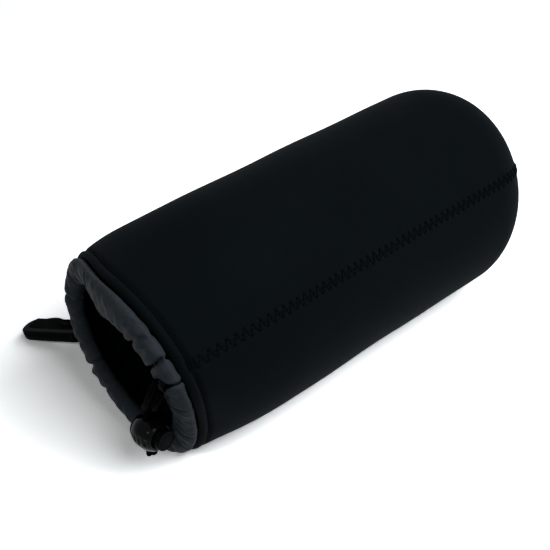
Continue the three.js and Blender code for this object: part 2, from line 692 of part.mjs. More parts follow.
function hookEye() {
  const half = TAB_WIDTH / 2 + GAP + EYE_SIDE;
  const corner = EYE_SIDE / 2;
  const outline = new THREE.Shape();
  outline.moveTo(EYE_START, -half + corner);
  outline.lineTo(EYE_START + corner, -half);
  outline.lineTo(EYE_END - corner, -half);
  outline.lineTo(EYE_END, -half + corner);
  outline.lineTo(EYE_END, half - corner);
  outline.lineTo(EYE_END - corner, half);
  outline.lineTo(EYE_START + corner, half);
  outline.lineTo(EYE_START, half - corner);
  const frame = plate(outline, EYE_THICKNESS);
  const window = block(
    EYE_WINDOW_START, EYE_BAR_START,
    -half + EYE_SIDE, half - EYE_SIDE,
    -EYE_THICKNESS, EYE_THICKNESS,
  );
  const bore = turned([
    [0, EYE_START - OVERRUN],
    [POST_DIAMETER / 2 + TURNING_GAP, EYE_START - OVERRUN],
    [POST_DIAMETER / 2 + TURNING_GAP, EYE_WINDOW_START + GAP],
    [0, EYE_WINDOW_START + GAP],
  ], 24).rotateY(Math.PI / 2);
  // The bar is thinner than the frame, so the webbing bends round it easily.
  const relief = (side) =>
    block(
      EYE_BAR_START - GAP, EYE_END + GAP,
      -half + EYE_SIDE, half - EYE_SIDE,
      side * (EYE_BAR / 2), side * EYE_THICKNESS,
    );
  return cut(frame, window, bore, relief(1), relief(-1));
}

// A stadium of webbing round the eye's bar. The tube's skin trims its far end.
function hookTab() {
  const inner = Math.hypot(EYE_BAR, EYE_BAR) / 2 + GAP;
  const outer = inner + TAB_WEBBING;
  const outline = new THREE.Shape();
  outline.moveTo(EYE_PIVOT + TAB_REACH, outer);
  outline.lineTo(EYE_PIVOT, outer);
  outline.absarc(EYE_PIVOT, 0, outer, Math.PI / 2, (3 * Math.PI) / 2, false);
  outline.lineTo(EYE_PIVOT + TAB_REACH, -outer);
  outline.lineTo(EYE_PIVOT + TAB_REACH, outer);
  const slot = new THREE.Path();
  slot.moveTo(EYE_PIVOT + EYE_BAR + TAB_WEBBING, inner / 2);
  slot.lineTo(EYE_PIVOT, inner);
  slot.absarc(EYE_PIVOT, 0, inner, Math.PI / 2, (3 * Math.PI) / 2, false);
  slot.lineTo(EYE_PIVOT + EYE_BAR + TAB_WEBBING, -inner / 2);
  slot.lineTo(EYE_PIVOT + EYE_BAR + TAB_WEBBING, inner / 2);
  outline.holes.push(slot);
  return plate(outline, TAB_WIDTH, 10).rotateX(Math.PI / 2);
}

// The pouch's whole outer shape, one gap proud, for trimming the tab that is sewn to it.
function outerShape() {
  const places = [
    { along: -HEM_LENGTH, inset: -GAP },
    ...[0, 0.12, 0.3, 0.55, 0.8, 1].map((share) => ({ along: share * NARROWING_LENGTH, inset: -GAP })),
    ...[0, 0.35, 0.7, 1].map((share) => basePlace(share * BASE_SEAM_TURN, -GAP)),
  ];
  return loft(
    places.map(({ along, inset }) => turns(TURN_STEPS).map((turn) => skinPoint(along, turn, inset))),
    false,
  );
}

// Groups that carry pieces drawn in their own frames
const pouch = new THREE.Group();

// The cord's frame stands where the cord leaves the channel. The lock and the knot hang in it.
const cord = new THREE.Group();
cord.position.copy(skinPoint(CHANNEL_FRONT, CORD_TURN, BORE_INSET));
pouch.add(cord);

const lock = new THREE.Group();
lock.position.set(...LOCK_PLACE);
const lockX = new THREE.Vector3().crossVectors(LOCK_UP, LOCK_BUTTON).normalize();
const lockZ = LOCK_BUTTON.clone().normalize();
const lockY = new THREE.Vector3().crossVectors(lockZ, lockX);
lock.setRotationFromMatrix(new THREE.Matrix4().makeBasis(lockX, lockY, lockZ));
lock.updateMatrix();
cord.add(lock);

const hook = new THREE.Group();
const hookX = HOOK_AIM.clone().normalize();
const hookY = new THREE.Vector3(-hookX.y, hookX.x, 0).normalize();
const hookZ = new THREE.Vector3().crossVectors(hookX, hookY);
hook.setRotationFromMatrix(new THREE.Matrix4().makeBasis(hookX, hookY, hookZ));
hook.position.copy(skinPoint(TAB_ALONG, TAB_TURN, 0)).addScaledVector(hookX, -EYE_PIVOT - TAB_STANDOFF);
pouch.add(hook);

pouch.add(
  piece("tube_panel", tubePanel(), colours.neoprene),
  piece("base_disc", baseDisc(), colours.neoprene),
  piece("side_seam_thread", sideSeamThread(), colours.thread),
  piece("base_seam_thread", baseSeamThread(), colours.thread),
  piece("hem_thread", hemThread(), colours.thread),
  piece("drawstring_channel", drawstringChannel(), colours.nylon),
  piece("drawcord_loop", drawcordLoop(), colours.cord),
);

cord.add(
  piece("drawcord_upper_strand", strand(UPPER_ROUTE, -1), colours.cord),
  piece("drawcord_lower_strand", strand(LOWER_ROUTE, 1), colours.cord),
);

lock.add(
  piece("cord_lock_barrel", lockBarrel(), colours.plastic),
  piece("cord_lock_plunger", lockPlunger(), colours.plastic),
  piece("cord_lock_spring", lockSpring(), colours.steel),
  piece("drawcord_knot", knot(), colours.cord),
);

pouch.add(
  piece("belt_strap", beltStrap(), colours.webbing),
  piece("belt_strap_front_tack", strapTack(TACK_MARGIN), colours.thread),
  piece("belt_strap_rear_tack", strapTack(STRAP_LENGTH - TACK_MARGIN - TACK_LENGTH), colours.thread),
);

hook.updateMatrixWorld(true);
const tubeInHookFrame = outerShape().applyMatrix4(hook.matrixWorld.clone().invert());
hook.add(
  piece("hook_tab", cut(hookTab(), tubeInHookFrame), colours.webbing),
  piece("hook_eye", hookEye(), colours.plastic),
  piece("hook_body", hookBody(), colours.plastic),
  piece("hook_gate", hookGate(), colours.plastic),
);

export default pouch;
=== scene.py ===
# %% [markdown]
# # A padded lens pouch, dressed around its imported frame
# The pouch is a tube of foam rubber faced with black jersey. Its mouth ends in a channel of thin
# nylon that a drawcord gathers, and a cord lock holds the cord. A snap hook hangs on the far side.
# Everything is in the frame of the imported parts, in metres. The pouch's own lengths are typed in
# millimetres.

# %% Load the frame
import math

import bmesh
import bpy
import numpy as np
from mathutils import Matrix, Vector
from mathutils.bvhtree import BVHTree


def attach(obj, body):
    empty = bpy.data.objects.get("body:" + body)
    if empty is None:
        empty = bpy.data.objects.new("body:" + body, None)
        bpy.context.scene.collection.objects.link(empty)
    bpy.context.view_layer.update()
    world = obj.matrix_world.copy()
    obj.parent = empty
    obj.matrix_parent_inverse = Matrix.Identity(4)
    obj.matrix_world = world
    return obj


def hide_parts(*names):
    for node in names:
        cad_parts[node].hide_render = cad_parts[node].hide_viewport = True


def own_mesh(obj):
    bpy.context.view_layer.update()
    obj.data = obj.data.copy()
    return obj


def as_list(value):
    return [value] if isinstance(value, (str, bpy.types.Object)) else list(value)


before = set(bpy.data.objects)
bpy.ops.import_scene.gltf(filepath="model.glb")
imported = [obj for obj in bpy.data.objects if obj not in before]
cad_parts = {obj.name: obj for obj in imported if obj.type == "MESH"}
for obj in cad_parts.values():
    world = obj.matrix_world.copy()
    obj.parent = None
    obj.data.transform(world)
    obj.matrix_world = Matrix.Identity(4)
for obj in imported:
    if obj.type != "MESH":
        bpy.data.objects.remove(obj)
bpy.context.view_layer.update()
MM = 0.001
TURN = 2 * math.pi


def in_scene(name, data):
    """A new object, put in the scene."""
    made = bpy.data.objects.new(name, data)
    bpy.context.scene.collection.objects.link(made)
    return made


def aimed(made, place, towards):
    """Puts a camera or a lamp at a place, looking towards another."""
    made.location = place
    made.rotation_euler = (Vector(towards) - Vector(place)).to_track_quat("-Z", "Y").to_euler()


# %% [markdown]
# ## The camera
# The photo looks down at the mouth from the front left, with a long lens. The lens and the place
# come from fitting the tube's outline, the mouth's rings and the seam to the photo.

# %% Camera
eye, target = Vector((-283.46, -275.51, 341.39)) * MM, Vector((-27.98, 2.58, 49.4)) * MM
camera_data = bpy.data.cameras.new("camera")
camera_data.sensor_width, camera_data.lens = 36, 69.19
camera = in_scene("camera", camera_data)
aimed(camera, eye, target)
bpy.context.scene.camera = camera
bpy.context.scene.view_settings.view_transform = "Standard"
print("camera at", eye, "lens", camera_data.lens)

# %% [markdown]
# ## Making meshes from rows of points
# Every soft piece is a grid of points: rows along it, columns round it. One function turns such a
# grid into a closed mesh with a map of real lengths, so that weaves have the right scale. Modifiers
# or a cloth simulation could make the folds too, but the pieces here are small, sewn tight and
# known place by place from the photo, so their relief is worked out point by point.


# %% Numbers, lines and directions
def spread(*values):
    """Numbers and arrays as floats of one shape."""
    return np.broadcast_arrays(*(np.asarray(v, float) for v in values))


def unit(vectors):
    """The same directions with a length of 1."""
    vectors = np.asarray(vectors, float)
    return vectors / np.linalg.norm(vectors, axis=-1, keepdims=True)


def step_up(value, low, high):
    """0 below low, 1 above high, smooth between."""
    t = np.clip((value - low) / (high - low), 0, 1)
    return t * t * (3 - 2 * t)


def hump(value, width):
    """1 at 0, falling smoothly to nothing a few widths away."""
    return np.exp(-((value / width) ** 2))


def running(path):
    """The distance run along a line, at each of its points."""
    return np.concatenate([[0.0], np.cumsum(np.linalg.norm(np.diff(path, axis=0), axis=1))])


def length_of(path):
    return float(running(path)[-1])


def evenly(points, step):
    """The same line with its points a fixed step apart."""
    run = running(points)
    at = np.linspace(0, run[-1], max(2, int(round(run[-1] / step)) + 1))
    return np.stack([np.interp(at, run, points[:, k]) for k in range(points.shape[1])], axis=1)


def between(t, low, high, first, second):
    """The first where t is low, the second where it is high, and evenly from one to the other."""
    return (high - t) / (high - low) * first + (t - low) / (high - low) * second


def smooth_path(points, step):
    """Points every step along a smooth curve through the given ones (a centripetal spline)."""
    points = np.asarray(points, dtype=float)
    ends = np.vstack([2 * points[0] - points[1], points, 2 * points[-1] - points[-2]])
    out = []
    for a, b, c, d in zip(ends, ends[1:], ends[2:], ends[3:]):
        ta, tb = 0.0, np.linalg.norm(b - a) ** 0.5
        tc = tb + np.linalg.norm(c - b) ** 0.5
        td = tc + np.linalg.norm(d - c) ** 0.5
        for t in np.linspace(tb, tc, 12, endpoint=False):
            bc = between(t, tb, tc, b, c)
            abc = between(t, ta, tc, between(t, ta, tb, a, b), bc)
            bcd = between(t, tb, td, bc, between(t, tc, td, c, d))
            out.append(between(t, tb, tc, abc, bcd))
    out.append(points[-1])
    return evenly(np.array(out), step)


def frames(path, closed):
    """Two side directions along a path, carried on without twisting."""
    if closed:
        tangent = unit(np.roll(path, -1, axis=0) - np.roll(path, 1, axis=0))
    else:
        tangent = unit(np.gradient(path, axis=0))
    side = np.empty_like(path)
    side[0] = unit(np.cross(tangent[0], (0.31, 0.17, 0.93)))
    for k in range(1, len(path)):
        side[k] = unit(side[k - 1] - tangent[k] * np.dot(side[k - 1], tangent[k]))
    return side, np.cross(tangent, side)


def softened(outline, passes, step=0.4):
    """An outline with its points a fixed step apart and its corners worn round."""
    points = evenly(np.vstack([outline, outline[:1]]), step)[:-1]
    for _ in range(passes):
        points = (np.roll(points, 1, axis=0) + 2 * points + np.roll(points, -1, axis=0)) / 4
    return points


def bow(start, control, end, steps=14):
    """Points of a bend from start to end, pulled towards the control point. The start is left out."""
    t = np.linspace(0, 1, steps + 1)[1:, None]
    start, control, end = (np.asarray(p, float) for p in (start, control, end))
    return (1 - t) ** 2 * start + 2 * t * (1 - t) * control + t**2 * end


def rounded_box(x0, x1, y0, y1, radius, steps):
    """A rectangle's outline with round corners."""
    corners = [
        (x1 - radius, y1 - radius), (x0 + radius, y1 - radius),
        (x0 + radius, y0 + radius), (x1 - radius, y0 + radius),
    ]
    return np.array([
        (x + radius * math.cos(a), y + radius * math.sin(a))
        for k, (x, y) in enumerate(corners)
        for a in np.radians(np.linspace(90 * k, 90 * k + 90, steps))
    ])


# %% Meshes
def piece_from(name, points, faces, maps):
    """A smooth mesh object from points in metres, faces and each corner's place in its map."""
    mesh = bpy.data.meshes.new(name)
    mesh.from_pydata([tuple(p) for p in points], [], [tuple(f) for f in faces])
    layer = mesh.uv_layers.new(name="lengths")
    layer.data.foreach_set("uv", np.asarray(maps, dtype=np.float32).ravel())
    mesh.polygons.foreach_set("use_smooth", [True] * len(mesh.polygons))
    mesh.update()
    bm = bmesh.new()
    bm.from_mesh(mesh)
    bmesh.ops.recalc_face_normals(bm, faces=bm.faces)
    bm.to_mesh(mesh)
    bm.free()
    return in_scene(name, mesh)


def arc(points, closed):
    """The distance run along rows of points, averaged over the rows."""
    steps = np.linalg.norm(np.diff(points, axis=1), axis=2).mean(axis=0)
    if closed:
        steps = np.append(steps, np.linalg.norm(points[:, 0] - points[:, -1], axis=1).mean())
    return np.concatenate([[0.0], np.cumsum(steps)])


def walls(count, size, along, across, closed=False):
    """The faces between rings of points, and their corners' places in a map of lengths."""
    i, j = (v.ravel() for v in np.indices((count if closed else count - 1, size)))
    up, over = (i + 1) % count, (j + 1) % size
    faces = np.stack([i * size + j, i * size + over, up * size + over, up * size + j], axis=1)
    corners = ((i, j), (i, j + 1), (i + 1, j + 1), (i + 1, j))
    maps = np.stack([np.stack([along[a], across[b]], axis=1) for a, b in corners], axis=1)
    return faces, maps.reshape(-1, 2).tolist()


def grid(name, rows, rows_close=False, caps=False):
    """A mesh through rings of points in mm (rows, columns, 3). The rows may close on themselves."""
    rows = np.asarray(rows, dtype=float) * MM
    count, size = rows.shape[:2]
    lengths = arc(rows.transpose(1, 0, 2), rows_close), arc(rows, True)
    faces, maps = walls(count, size, *lengths, rows_close)
    points, faces = rows.reshape(-1, 3), faces.tolist()
    if caps:
        for row, start, flip in ((rows[0], 0, True), (rows[-1], (count - 1) * size, False)):
            middle = len(points)
            points = np.vstack([points, row.mean(axis=0)])
            for k in range(size):
                a, b = start + k, start + (k + 1) % size
                faces.append([middle, b, a] if flip else [middle, a, b])
                maps += [[0, 0], [MM, 0], [0, MM]]
    return piece_from(name, points, faces, maps)


def raised(rows, relief):
    """The rings' points moved outwards by relief, in mm, square to the surface."""
    round_ring = np.roll(rows, -1, axis=1) - np.roll(rows, 1, axis=1)
    normal = np.cross(np.gradient(rows, axis=0), round_ring)
    normal /= np.maximum(np.linalg.norm(normal, axis=2, keepdims=True), 1e-9)
    if np.sum(normal * (rows - rows.mean(axis=1, keepdims=True))) < 0:
        normal = -normal
    return rows + normal * relief[..., None]


def tube_rows(path, radius, sides, closed=False, relief=None):
    """Rings round a path. relief(run, turn) may change the radius, as a braid does."""
    path = np.asarray(path, dtype=float)
    side, other = frames(path, closed)
    turn = np.arange(sides) * TURN / sides
    size = np.full((len(path), sides), float(radius))
    if relief is not None:
        size = size * relief(running(path)[:, None], turn[None, :])
    return (
        path[:, None, :]
        + (size * np.cos(turn))[:, :, None] * side[:, None, :]
        + (size * np.sin(turn))[:, :, None] * other[:, None, :]
    )


def many_tubes(name, paths, radius, sides=6):
    """Many thin closed tubes, such as stitches, in one mesh. Paths are in mm."""
    points, faces, maps, base = [], [], [], 0
    across = np.arange(sides + 1) * (TURN * radius * MM / sides)
    for path in paths:
        rows = tube_rows(path, radius, sides) * MM
        count = len(rows)
        new_faces, new_maps = walls(count, sides, arc(rows.transpose(1, 0, 2), False), across)
        points.append(rows.reshape(-1, 3))
        faces += (new_faces + base).tolist()
        faces.append([base + j for j in reversed(range(sides))])
        faces.append([base + (count - 1) * sides + j for j in range(sides)])
        maps += new_maps + [(0, 0)] * (2 * sides)
        base += count * sides
    return piece_from(name, np.vstack(points), faces, maps)


def turned(name, profile, columns, place, relief=None):
    """A profile of (radius, height) turned about its own axis, then put in place."""
    radius, height = np.asarray(profile, float).T[:, :, None]
    turn = np.arange(columns) * TURN / columns
    rows = np.stack([radius * np.cos(turn), radius * np.sin(turn), height + 0 * turn], axis=2)
    if relief is not None:
        rows = raised(rows, relief(rows))
    return grid(name, place(rows), caps=True)


def cut(piece, cutter):
    """Takes the cutter out of the piece and removes it."""
    change = piece.modifiers.new("cut", "BOOLEAN")
    change.operation, change.solver, change.object = "DIFFERENCE", "EXACT", cutter
    bpy.context.view_layer.update()
    seen = piece.evaluated_get(bpy.context.evaluated_depsgraph_get())
    mesh = bpy.data.meshes.new_from_object(seen)
    piece.modifiers.clear()
    piece.data = mesh
    bpy.data.objects.remove(cutter)
    mesh.polygons.foreach_set("use_smooth", [True] * len(mesh.polygons))
    mesh.set_sharp_from_angle(angle=math.radians(38))


def plate_rows(outline, half, rounding, dent=None):
    """Rings up a plate with rounded edges. The outline is (x, y) in mm and the plate is thick in z."""
    ahead, behind = np.roll(outline, -1, axis=0), np.roll(outline, 1, axis=0)
    if np.sum(outline[:, 0] * ahead[:, 1] - outline[:, 1] * ahead[:, 0]) < 0:
        outline = outline[::-1]
        ahead, behind = np.roll(outline, -1, axis=0), np.roll(outline, 1, axis=0)
    way = unit(ahead - behind)
    inward = np.stack([-way[:, 1], way[:, 0]], axis=1)
    steps = 6
    levels = [(half, rounding + 0.08)]
    for k in range(steps + 1):
        a = (1 - k / steps) * math.pi / 2
        levels.append((half - rounding + rounding * math.sin(a), rounding * (1 - math.cos(a))))
    middle = np.linspace(half - rounding, rounding - half, 14)[1:-1]
    heights = levels + [(z, 0.0) for z in middle] + [(-z, inset) for z, inset in reversed(levels)]
    rows = []
    for z, inset in heights:
        depth = np.full(len(outline), inset)
        if dent is not None:
            depth = depth + dent(outline[:, 0], outline[:, 1], z)
        rows.append(np.column_stack([outline + inward * depth[:, None], np.full(len(outline), z)]))
    return np.array(rows)


def plate(name, rows, place):
    """A closed mesh from a plate's rings, with one flat face at each end."""
    rows = place(rows) * MM
    count, size = rows.shape[:2]
    along, across = np.arange(count) * 0.3 * MM, np.arange(size + 1) * 0.4 * MM
    faces, maps = walls(count, size, along, across)
    ends = [list(reversed(range(size))), list(range((count - 1) * size, count * size))]
    return piece_from(name, rows.reshape(-1, 3), faces.tolist() + ends, maps + [(0, 0)] * (2 * size))


# %% [markdown]
# ## The skin
# One rule gives every point of the tube's skin: a distance from the stitched groove, a turn round
# the section and a depth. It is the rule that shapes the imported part, so everything sewn to the
# tube sits where the part has it. The photo's outline, seam and mouth rings set its numbers.

# %% The tube's skin, the same rule as in the part
LENGTH, WIDE, HIGH, SAG = 209.3, 96.4, 103.5, 0.6
AXIS, MOUTH_X = HIGH / 2 - SAG, -LENGTH / 2
ROUNDING, FOAM, HEM, NARROWING = 32.3, 5.0, 4.0, 48.3
MOUTH_WIDE, MOUTH_HIGH = 96.4, 81.7
MOUTH_LEAN, SEAM_TURN, CORD_TURN, STRAP_TURN, TAB_TURN, BASE_SEAM = (
    math.radians(degrees) for degrees in (41.3, 151.3, 156.5, -30, -31.7, 57)
)
PULL_TURN, LOBE_TURN, SADDLE_TURN = (math.radians(degrees) for degrees in (27, 17, 127))
SETTLING = 1.2  # how softly the round of the tube meets the floor, in mm
STRAIGHT = LENGTH - ROUNDING
SEAM_RUN = STRAIGHT + BASE_SEAM * ROUNDING


def skin(along, turn, inset):
    """Points of the skin in millimetres, from a distance to the groove, a turn and an inset."""
    along, turn, inset = spread(along, turn, inset)
    share = np.where(along > 0, np.clip(1 - along / NARROWING, 0, 1) ** 2, 1.0)
    y0 = (WIDE / 2 - inset) * np.cos(turn)
    z0 = (HIGH / 2 - inset) * np.sin(turn)
    u = (MOUTH_WIDE / 2 - inset) * np.cos(turn - MOUTH_LEAN)
    v = (MOUTH_HIGH / 2 - inset) * np.sin(turn - MOUTH_LEAN)
    y = y0 + (u * math.cos(MOUTH_LEAN) - v * math.sin(MOUTH_LEAN) - y0) * share
    z = z0 + (u * math.sin(MOUTH_LEAN) + v * math.cos(MOUTH_LEAN) - z0) * share
    # the mouth is pulled in low on the far side, and its rim stands forward and saddles
    pull = share * np.exp(4.75 * (np.cos(turn - PULL_TURN) - 1))
    corner = 1 + share * (0.1 * np.cos(3 * (turn - LOBE_TURN)) - 0.089 * pull)
    saddle = 2.74 * np.cos(2 * (turn - SADDLE_TURN)) - 4.4 * pull
    forward = share * (0.124 * z + 0.001 * y + saddle)
    height = AXIS + z * corner + share
    lowest = np.clip(inset, 0, FOAM)
    gap = height - lowest
    settled = np.where(gap < -SETTLING, 0, (gap + SETTLING) ** 2 / (4 * SETTLING))
    rested = lowest + np.where(gap > SETTLING, gap, settled)
    return np.stack([MOUTH_X + along - forward, y * corner + 2 * share, rested], axis=-1)


def hull(run, turn, lift):
    """Points by the running distance from the groove, over the rounded base too. Lift is outwards."""
    run, turn, lift = spread(run, turn, lift)
    bend = np.clip((run - STRAIGHT) / ROUNDING, 0, math.pi / 2)
    radius = ROUNDING + lift
    along = np.where(bend > 0, STRAIGHT + radius * np.sin(bend), run)
    return skin(along, turn, ROUNDING - radius * np.cos(bend))


def per_turn(run, turn):
    """Millimetres of skin for each radian of turn."""
    return np.linalg.norm(hull(run, turn + 0.01, 0) - hull(run, turn - 0.01, 0), axis=-1) / 0.02


def waves(run, turn):
    """The slight unevenness of foam rubber sewn to a tube, in mm outwards."""
    slow = 0.26 * np.sin(run / 17 + 2 * np.cos(turn)) * np.cos(2 * turn - 0.7)
    quick = 0.12 * np.sin(run / 8.5 + 3 * np.sin(turn - 0.4))
    return (slow + quick) * step_up(run, 2, 20)


around = np.arange(360) * TURN / 360
print("girth at mid length mm", round(float(per_turn(120, around).mean() * TURN), 1))

# %% [markdown]
# ## The drawcord's free strands
# A round braided cord, 2.6 mm thick, comes out of the channel in two strands, bows out in front of
# the mouth and goes through the lock to a knot. A curve with a round bevel could stand for it, but
# the braid shows as light specks in the photo, so each strand is a tube whose radius follows eight
# crossing yarns. The photo shows both strands from end to end, and that is their length.

# %% The two strands
CORD, LOCK_RADIUS, GAP = 2.6, 7.5, 0.3  # the gap is the play between moving pieces
CHANNEL_FRONT, CHANNEL_BACK, CHANNEL_MIDDLE = -10.4, -4.3, -7.3
CHANNEL_INSET, CHANNEL_WIDTH, CHANNEL_HALF = 1.1, 13.2, 3.1
BORE_INSET = CHANNEL_INSET + CHANNEL_WIDTH * 0.55
UPPER_ROUTE = [
    (-2, 0.85, 1.8), (-3.3, 0.97, -0.2), (-4.7, 1.5, -3.35), (-5.17, 3.03, -7.09),
    (-4.85, 4.98, -11.66), (-3.53, 7.76, -15.56), (-1.95, 10.86, -18), (0.06, 13.37, -21.83),
    (0.75, 13.89, -24.8),
]
LOWER_ROUTE = [
    (-0.9, -0.55, -3.6), (-1.95, -0.33, -5.4), (-2.86, 0.36, -7.9), (-2.9, 2.18, -11.84),
    (-1.09, 4.86, -15.46), (0.8, 8.47, -17.6), (2.38, 11.84, -20.13), (3.49, 13.67, -23.59),
    (3.61, 14.19, -26.11),
]
exit_middle = skin(CHANNEL_FRONT, CORD_TURN, BORE_INSET)
lock_middle = exit_middle + (1.08, 13.1, -36.37)
lock_z = unit((0.13, -0.98, 0.08))
lock_x = unit(np.cross((0.1, 0.16, 0.98), lock_z))
lock_y = np.cross(lock_z, lock_x)


def in_lock(points):
    """Points of the lock's own frame, put in the pouch's: x across the cords, y along, z the button."""
    return lock_middle + np.asarray(points, float) @ np.stack([lock_x, lock_y, lock_z])


def braid(run, turn):
    """Eight crossing yarns: the radius swells where a yarn passes over."""
    lay = TURN / 3.6
    one = np.abs(np.cos(4 * turn + lay * run * 2))
    two = np.abs(np.cos(4 * turn - lay * run * 2))
    over = 0.5 + 0.5 * np.sin(4 * turn) * np.sin(lay * run * 2)
    return 0.90 + 0.10 * np.maximum(one * (0.75 + 0.25 * over), two * (1 - 0.25 * over)) ** 0.6


def strand(name, route, side):
    """A strand from the channel through its side of the lock to the knot, and its line in mm."""
    hole = side * (CORD + GAP) / 2
    inside = in_lock([(hole, share * LOCK_RADIUS, 0) for share in (1, 0.5, 0, -0.5, -1.16)])
    path = smooth_path([exit_middle + np.array(p) for p in route] + list(inside), 0.16)
    print(name, "length mm", round(length_of(path), 1))
    return grid(name, tube_rows(path, CORD / 2, 28, relief=braid), caps=True), path


upper_strand, upper_path = strand("drawcord_upper", UPPER_ROUTE, -1)
lower_strand, lower_path = strand("drawcord_lower", LOWER_ROUTE, 1)

# %% [markdown]
# ## The tube
# Foam rubber 5 mm thick, faced with jersey on both sides, rolled to a tube and closed by one seam.
# Pressure in a cloth simulation would round off the lens-shaped mouth that the photo shows, so the
# tube is a grid over the skin's rule: a round hem, the stitched groove, slight waves, a trench for
# the side seam and an edge that curls into the base seam. Its inside is one wall further in.

# %% Tube of foam rubber
SEAM_REACH, HEM_STITCHES = 50, 117  # mm for each radian at the seam, and a count
ROLL = FOAM / 2
RIM = ROLL - HEM
even = np.arange(248) * TURN / 248  # finer at the side seam
fine = SEAM_TURN + np.arange(-5, 5.01, 0.5) / SEAM_REACH
turns = np.sort(np.concatenate([even[np.abs(even - SEAM_TURN) > 0.112], fine]))


def trench(turn):
    """The hollow that the seam's stitched band lies in."""
    return -0.95 * (1 - step_up(np.abs(turn - SEAM_TURN) * SEAM_REACH, 2.0, 3.0))


def tube_lift(run, turn):
    """The groove behind the channel, the edge that curls into the base seam and the waves."""
    groove = -1.35 * hump(run, 1.05) * (1 + 0.12 * np.cos(turn * HEM_STITCHES))
    edge = -1.0 * hump(np.maximum(SEAM_RUN - run, 0), 1.5)
    return groove + edge + waves(run, turn)


outer_runs = np.concatenate([
    np.arange(RIM, 4, 0.25), np.arange(4, 58, 1.6), np.arange(58, STRAIGHT, 2.4),
    np.arange(STRAIGHT, SEAM_RUN - 4, 1.2), np.arange(SEAM_RUN - 4, SEAM_RUN + 0.01, 0.25),
])
inner_runs = np.concatenate([
    [RIM], np.arange(1, STRAIGHT, 3.2), np.arange(STRAIGHT, SEAM_RUN, 2.2), [SEAM_RUN],
])
run, turn = np.meshgrid(outer_runs, turns, indexing="ij")
outer = hull(run, turn, tube_lift(run, turn) + trench(turn))
run, turn = np.meshgrid(inner_runs[::-1], turns, indexing="ij")
inner = hull(run, turn, waves(run, turn) - FOAM)
bend = (np.linspace(-90, 90, 15)[1:-1] * math.pi / 180)[:, None]
hem = skin(RIM - ROLL * np.cos(bend), turns[None, :], ROLL - ROLL * np.sin(bend))
tube = grid("pouch_tube", np.concatenate([outer, inner, hem]), rows_close=True)
print("tube points", len(tube.data.vertices))

# %% [markdown]
# ## The base
# A disc of the same foam rubber, sewn edge to edge to the tube, so both edges curl down into the
# seam. Its middle is nearly flat and bulges a little.

# %% Base disc
BULGE = 0.9


def base_rows(depth, curl):
    """Rings from the base seam to the middle of the disc, at a depth below its outer face."""
    first = BASE_SEAM + 0.3 / (ROUNDING - FOAM)
    bends = np.linspace(first, math.pi / 2, 22)[:, None]
    radius = ROUNDING - depth - curl * hump((bends - first) * ROUNDING, 1.5)
    rim = skin(STRAIGHT + radius * np.sin(bends), turns[None, :], ROUNDING - radius * np.cos(bends))
    edge = rim[-1]
    centre = np.stack([edge[:, 0], 0 * edge[:, 1], 0 * edge[:, 2] + AXIS], axis=1)
    shares = np.linspace(0.94, 0.02, 16)
    rows = np.concatenate([rim, [centre + (edge - centre) * share for share in shares]])
    reach = np.concatenate([np.ones(len(rim)), shares])
    rows[:, :, 0] += (BULGE * (1 - reach**2))[:, None]
    return rows


base = grid("pouch_base", np.concatenate([base_rows(FOAM, 0)[::-1], base_rows(0, 1.0)]), caps=True)
print("base points", len(base.data.vertices))

# %% [markdown]
# ## The seams
# Both seams are flat: the edges meet, and a zigzag thread crosses from side to side. At the photo's
# scale the thread shows less than its needle holes, two staggered rows of dark dimples. A bump map
# would lose them at a low angle, so a narrow band of real jersey follows each seam, with its groove
# and holes in the mesh, and the thread is one long tube that dives into each hole.

# %% Seam bands with needle holes, and their zigzag threads
HOLE_ASIDE, BAND, THREAD = 2.05, 3.2, 0.19
SIDE_START, SIDE_STITCHES, BASE_STITCHES = 2.2, 56, 62
SIDE_PITCH = (SEAM_RUN - 3.4) / SIDE_STITCHES
rim_lengths = per_turn(SEAM_RUN, around)
GIRTH = float(rim_lengths.mean()) * TURN
BASE_PITCH = GIRTH / BASE_STITCHES
stations = np.concatenate([[0], np.cumsum(rim_lengths)]) * TURN / 360
STITCH = np.array([
    # mm along, pitches along, mm across and mm up: down one hole and over the groove
    (-0.10, 0, HOLE_ASIDE, -0.38), (0.10, 0, HOLE_ASIDE, -0.38), (0, 0.12, 1.62, 0.30),
    (0, 0.19, 1.0, 0.50), (0, 0.25, 0.0, 0.34), (0, 0.31, -1.0, 0.50), (0, 0.38, -1.62, 0.30),
]).T


def band_lift(run, aside, pitch):
    """The band's relief: a puff to each side of the butt groove, and a needle hole at each stitch."""
    lift = -0.13 + 0.50 * (1 - (aside / BAND) ** 2) - 0.55 * hump(aside, 0.45)
    for side, start in ((1, 0.0), (-1, 0.5)):
        from_hole = ((run / pitch - start + 0.5) % 1 - 0.5) * pitch
        off = aside - side * HOLE_ASIDE
        lift = lift - 0.85 * hump(from_hole, 0.62) * hump(off, 0.55)
        lift = lift + 0.10 * hump(from_hole - pitch / 2, 0.9) * hump(off, 0.9)
    return lift


def on_side_seam(run, aside, lift):
    run, aside, lift = spread(run, aside, lift)
    at = SIDE_START + run
    turn = SEAM_TURN + aside / per_turn(at, SEAM_TURN + 0 * at)
    return hull(at, turn, lift + tube_lift(at, turn))


def on_base_seam(run, aside, lift):
    run, aside, lift = spread(run, aside, lift)
    turn = SEAM_TURN + np.interp(run % GIRTH, stations, np.append(around, TURN))
    lift = lift - 0.75 * hump(aside, 1.5) * (1 - hump(aside, 2.6))
    return hull(SEAM_RUN + aside, turn, lift + waves(SEAM_RUN, turn) * (aside < 0))


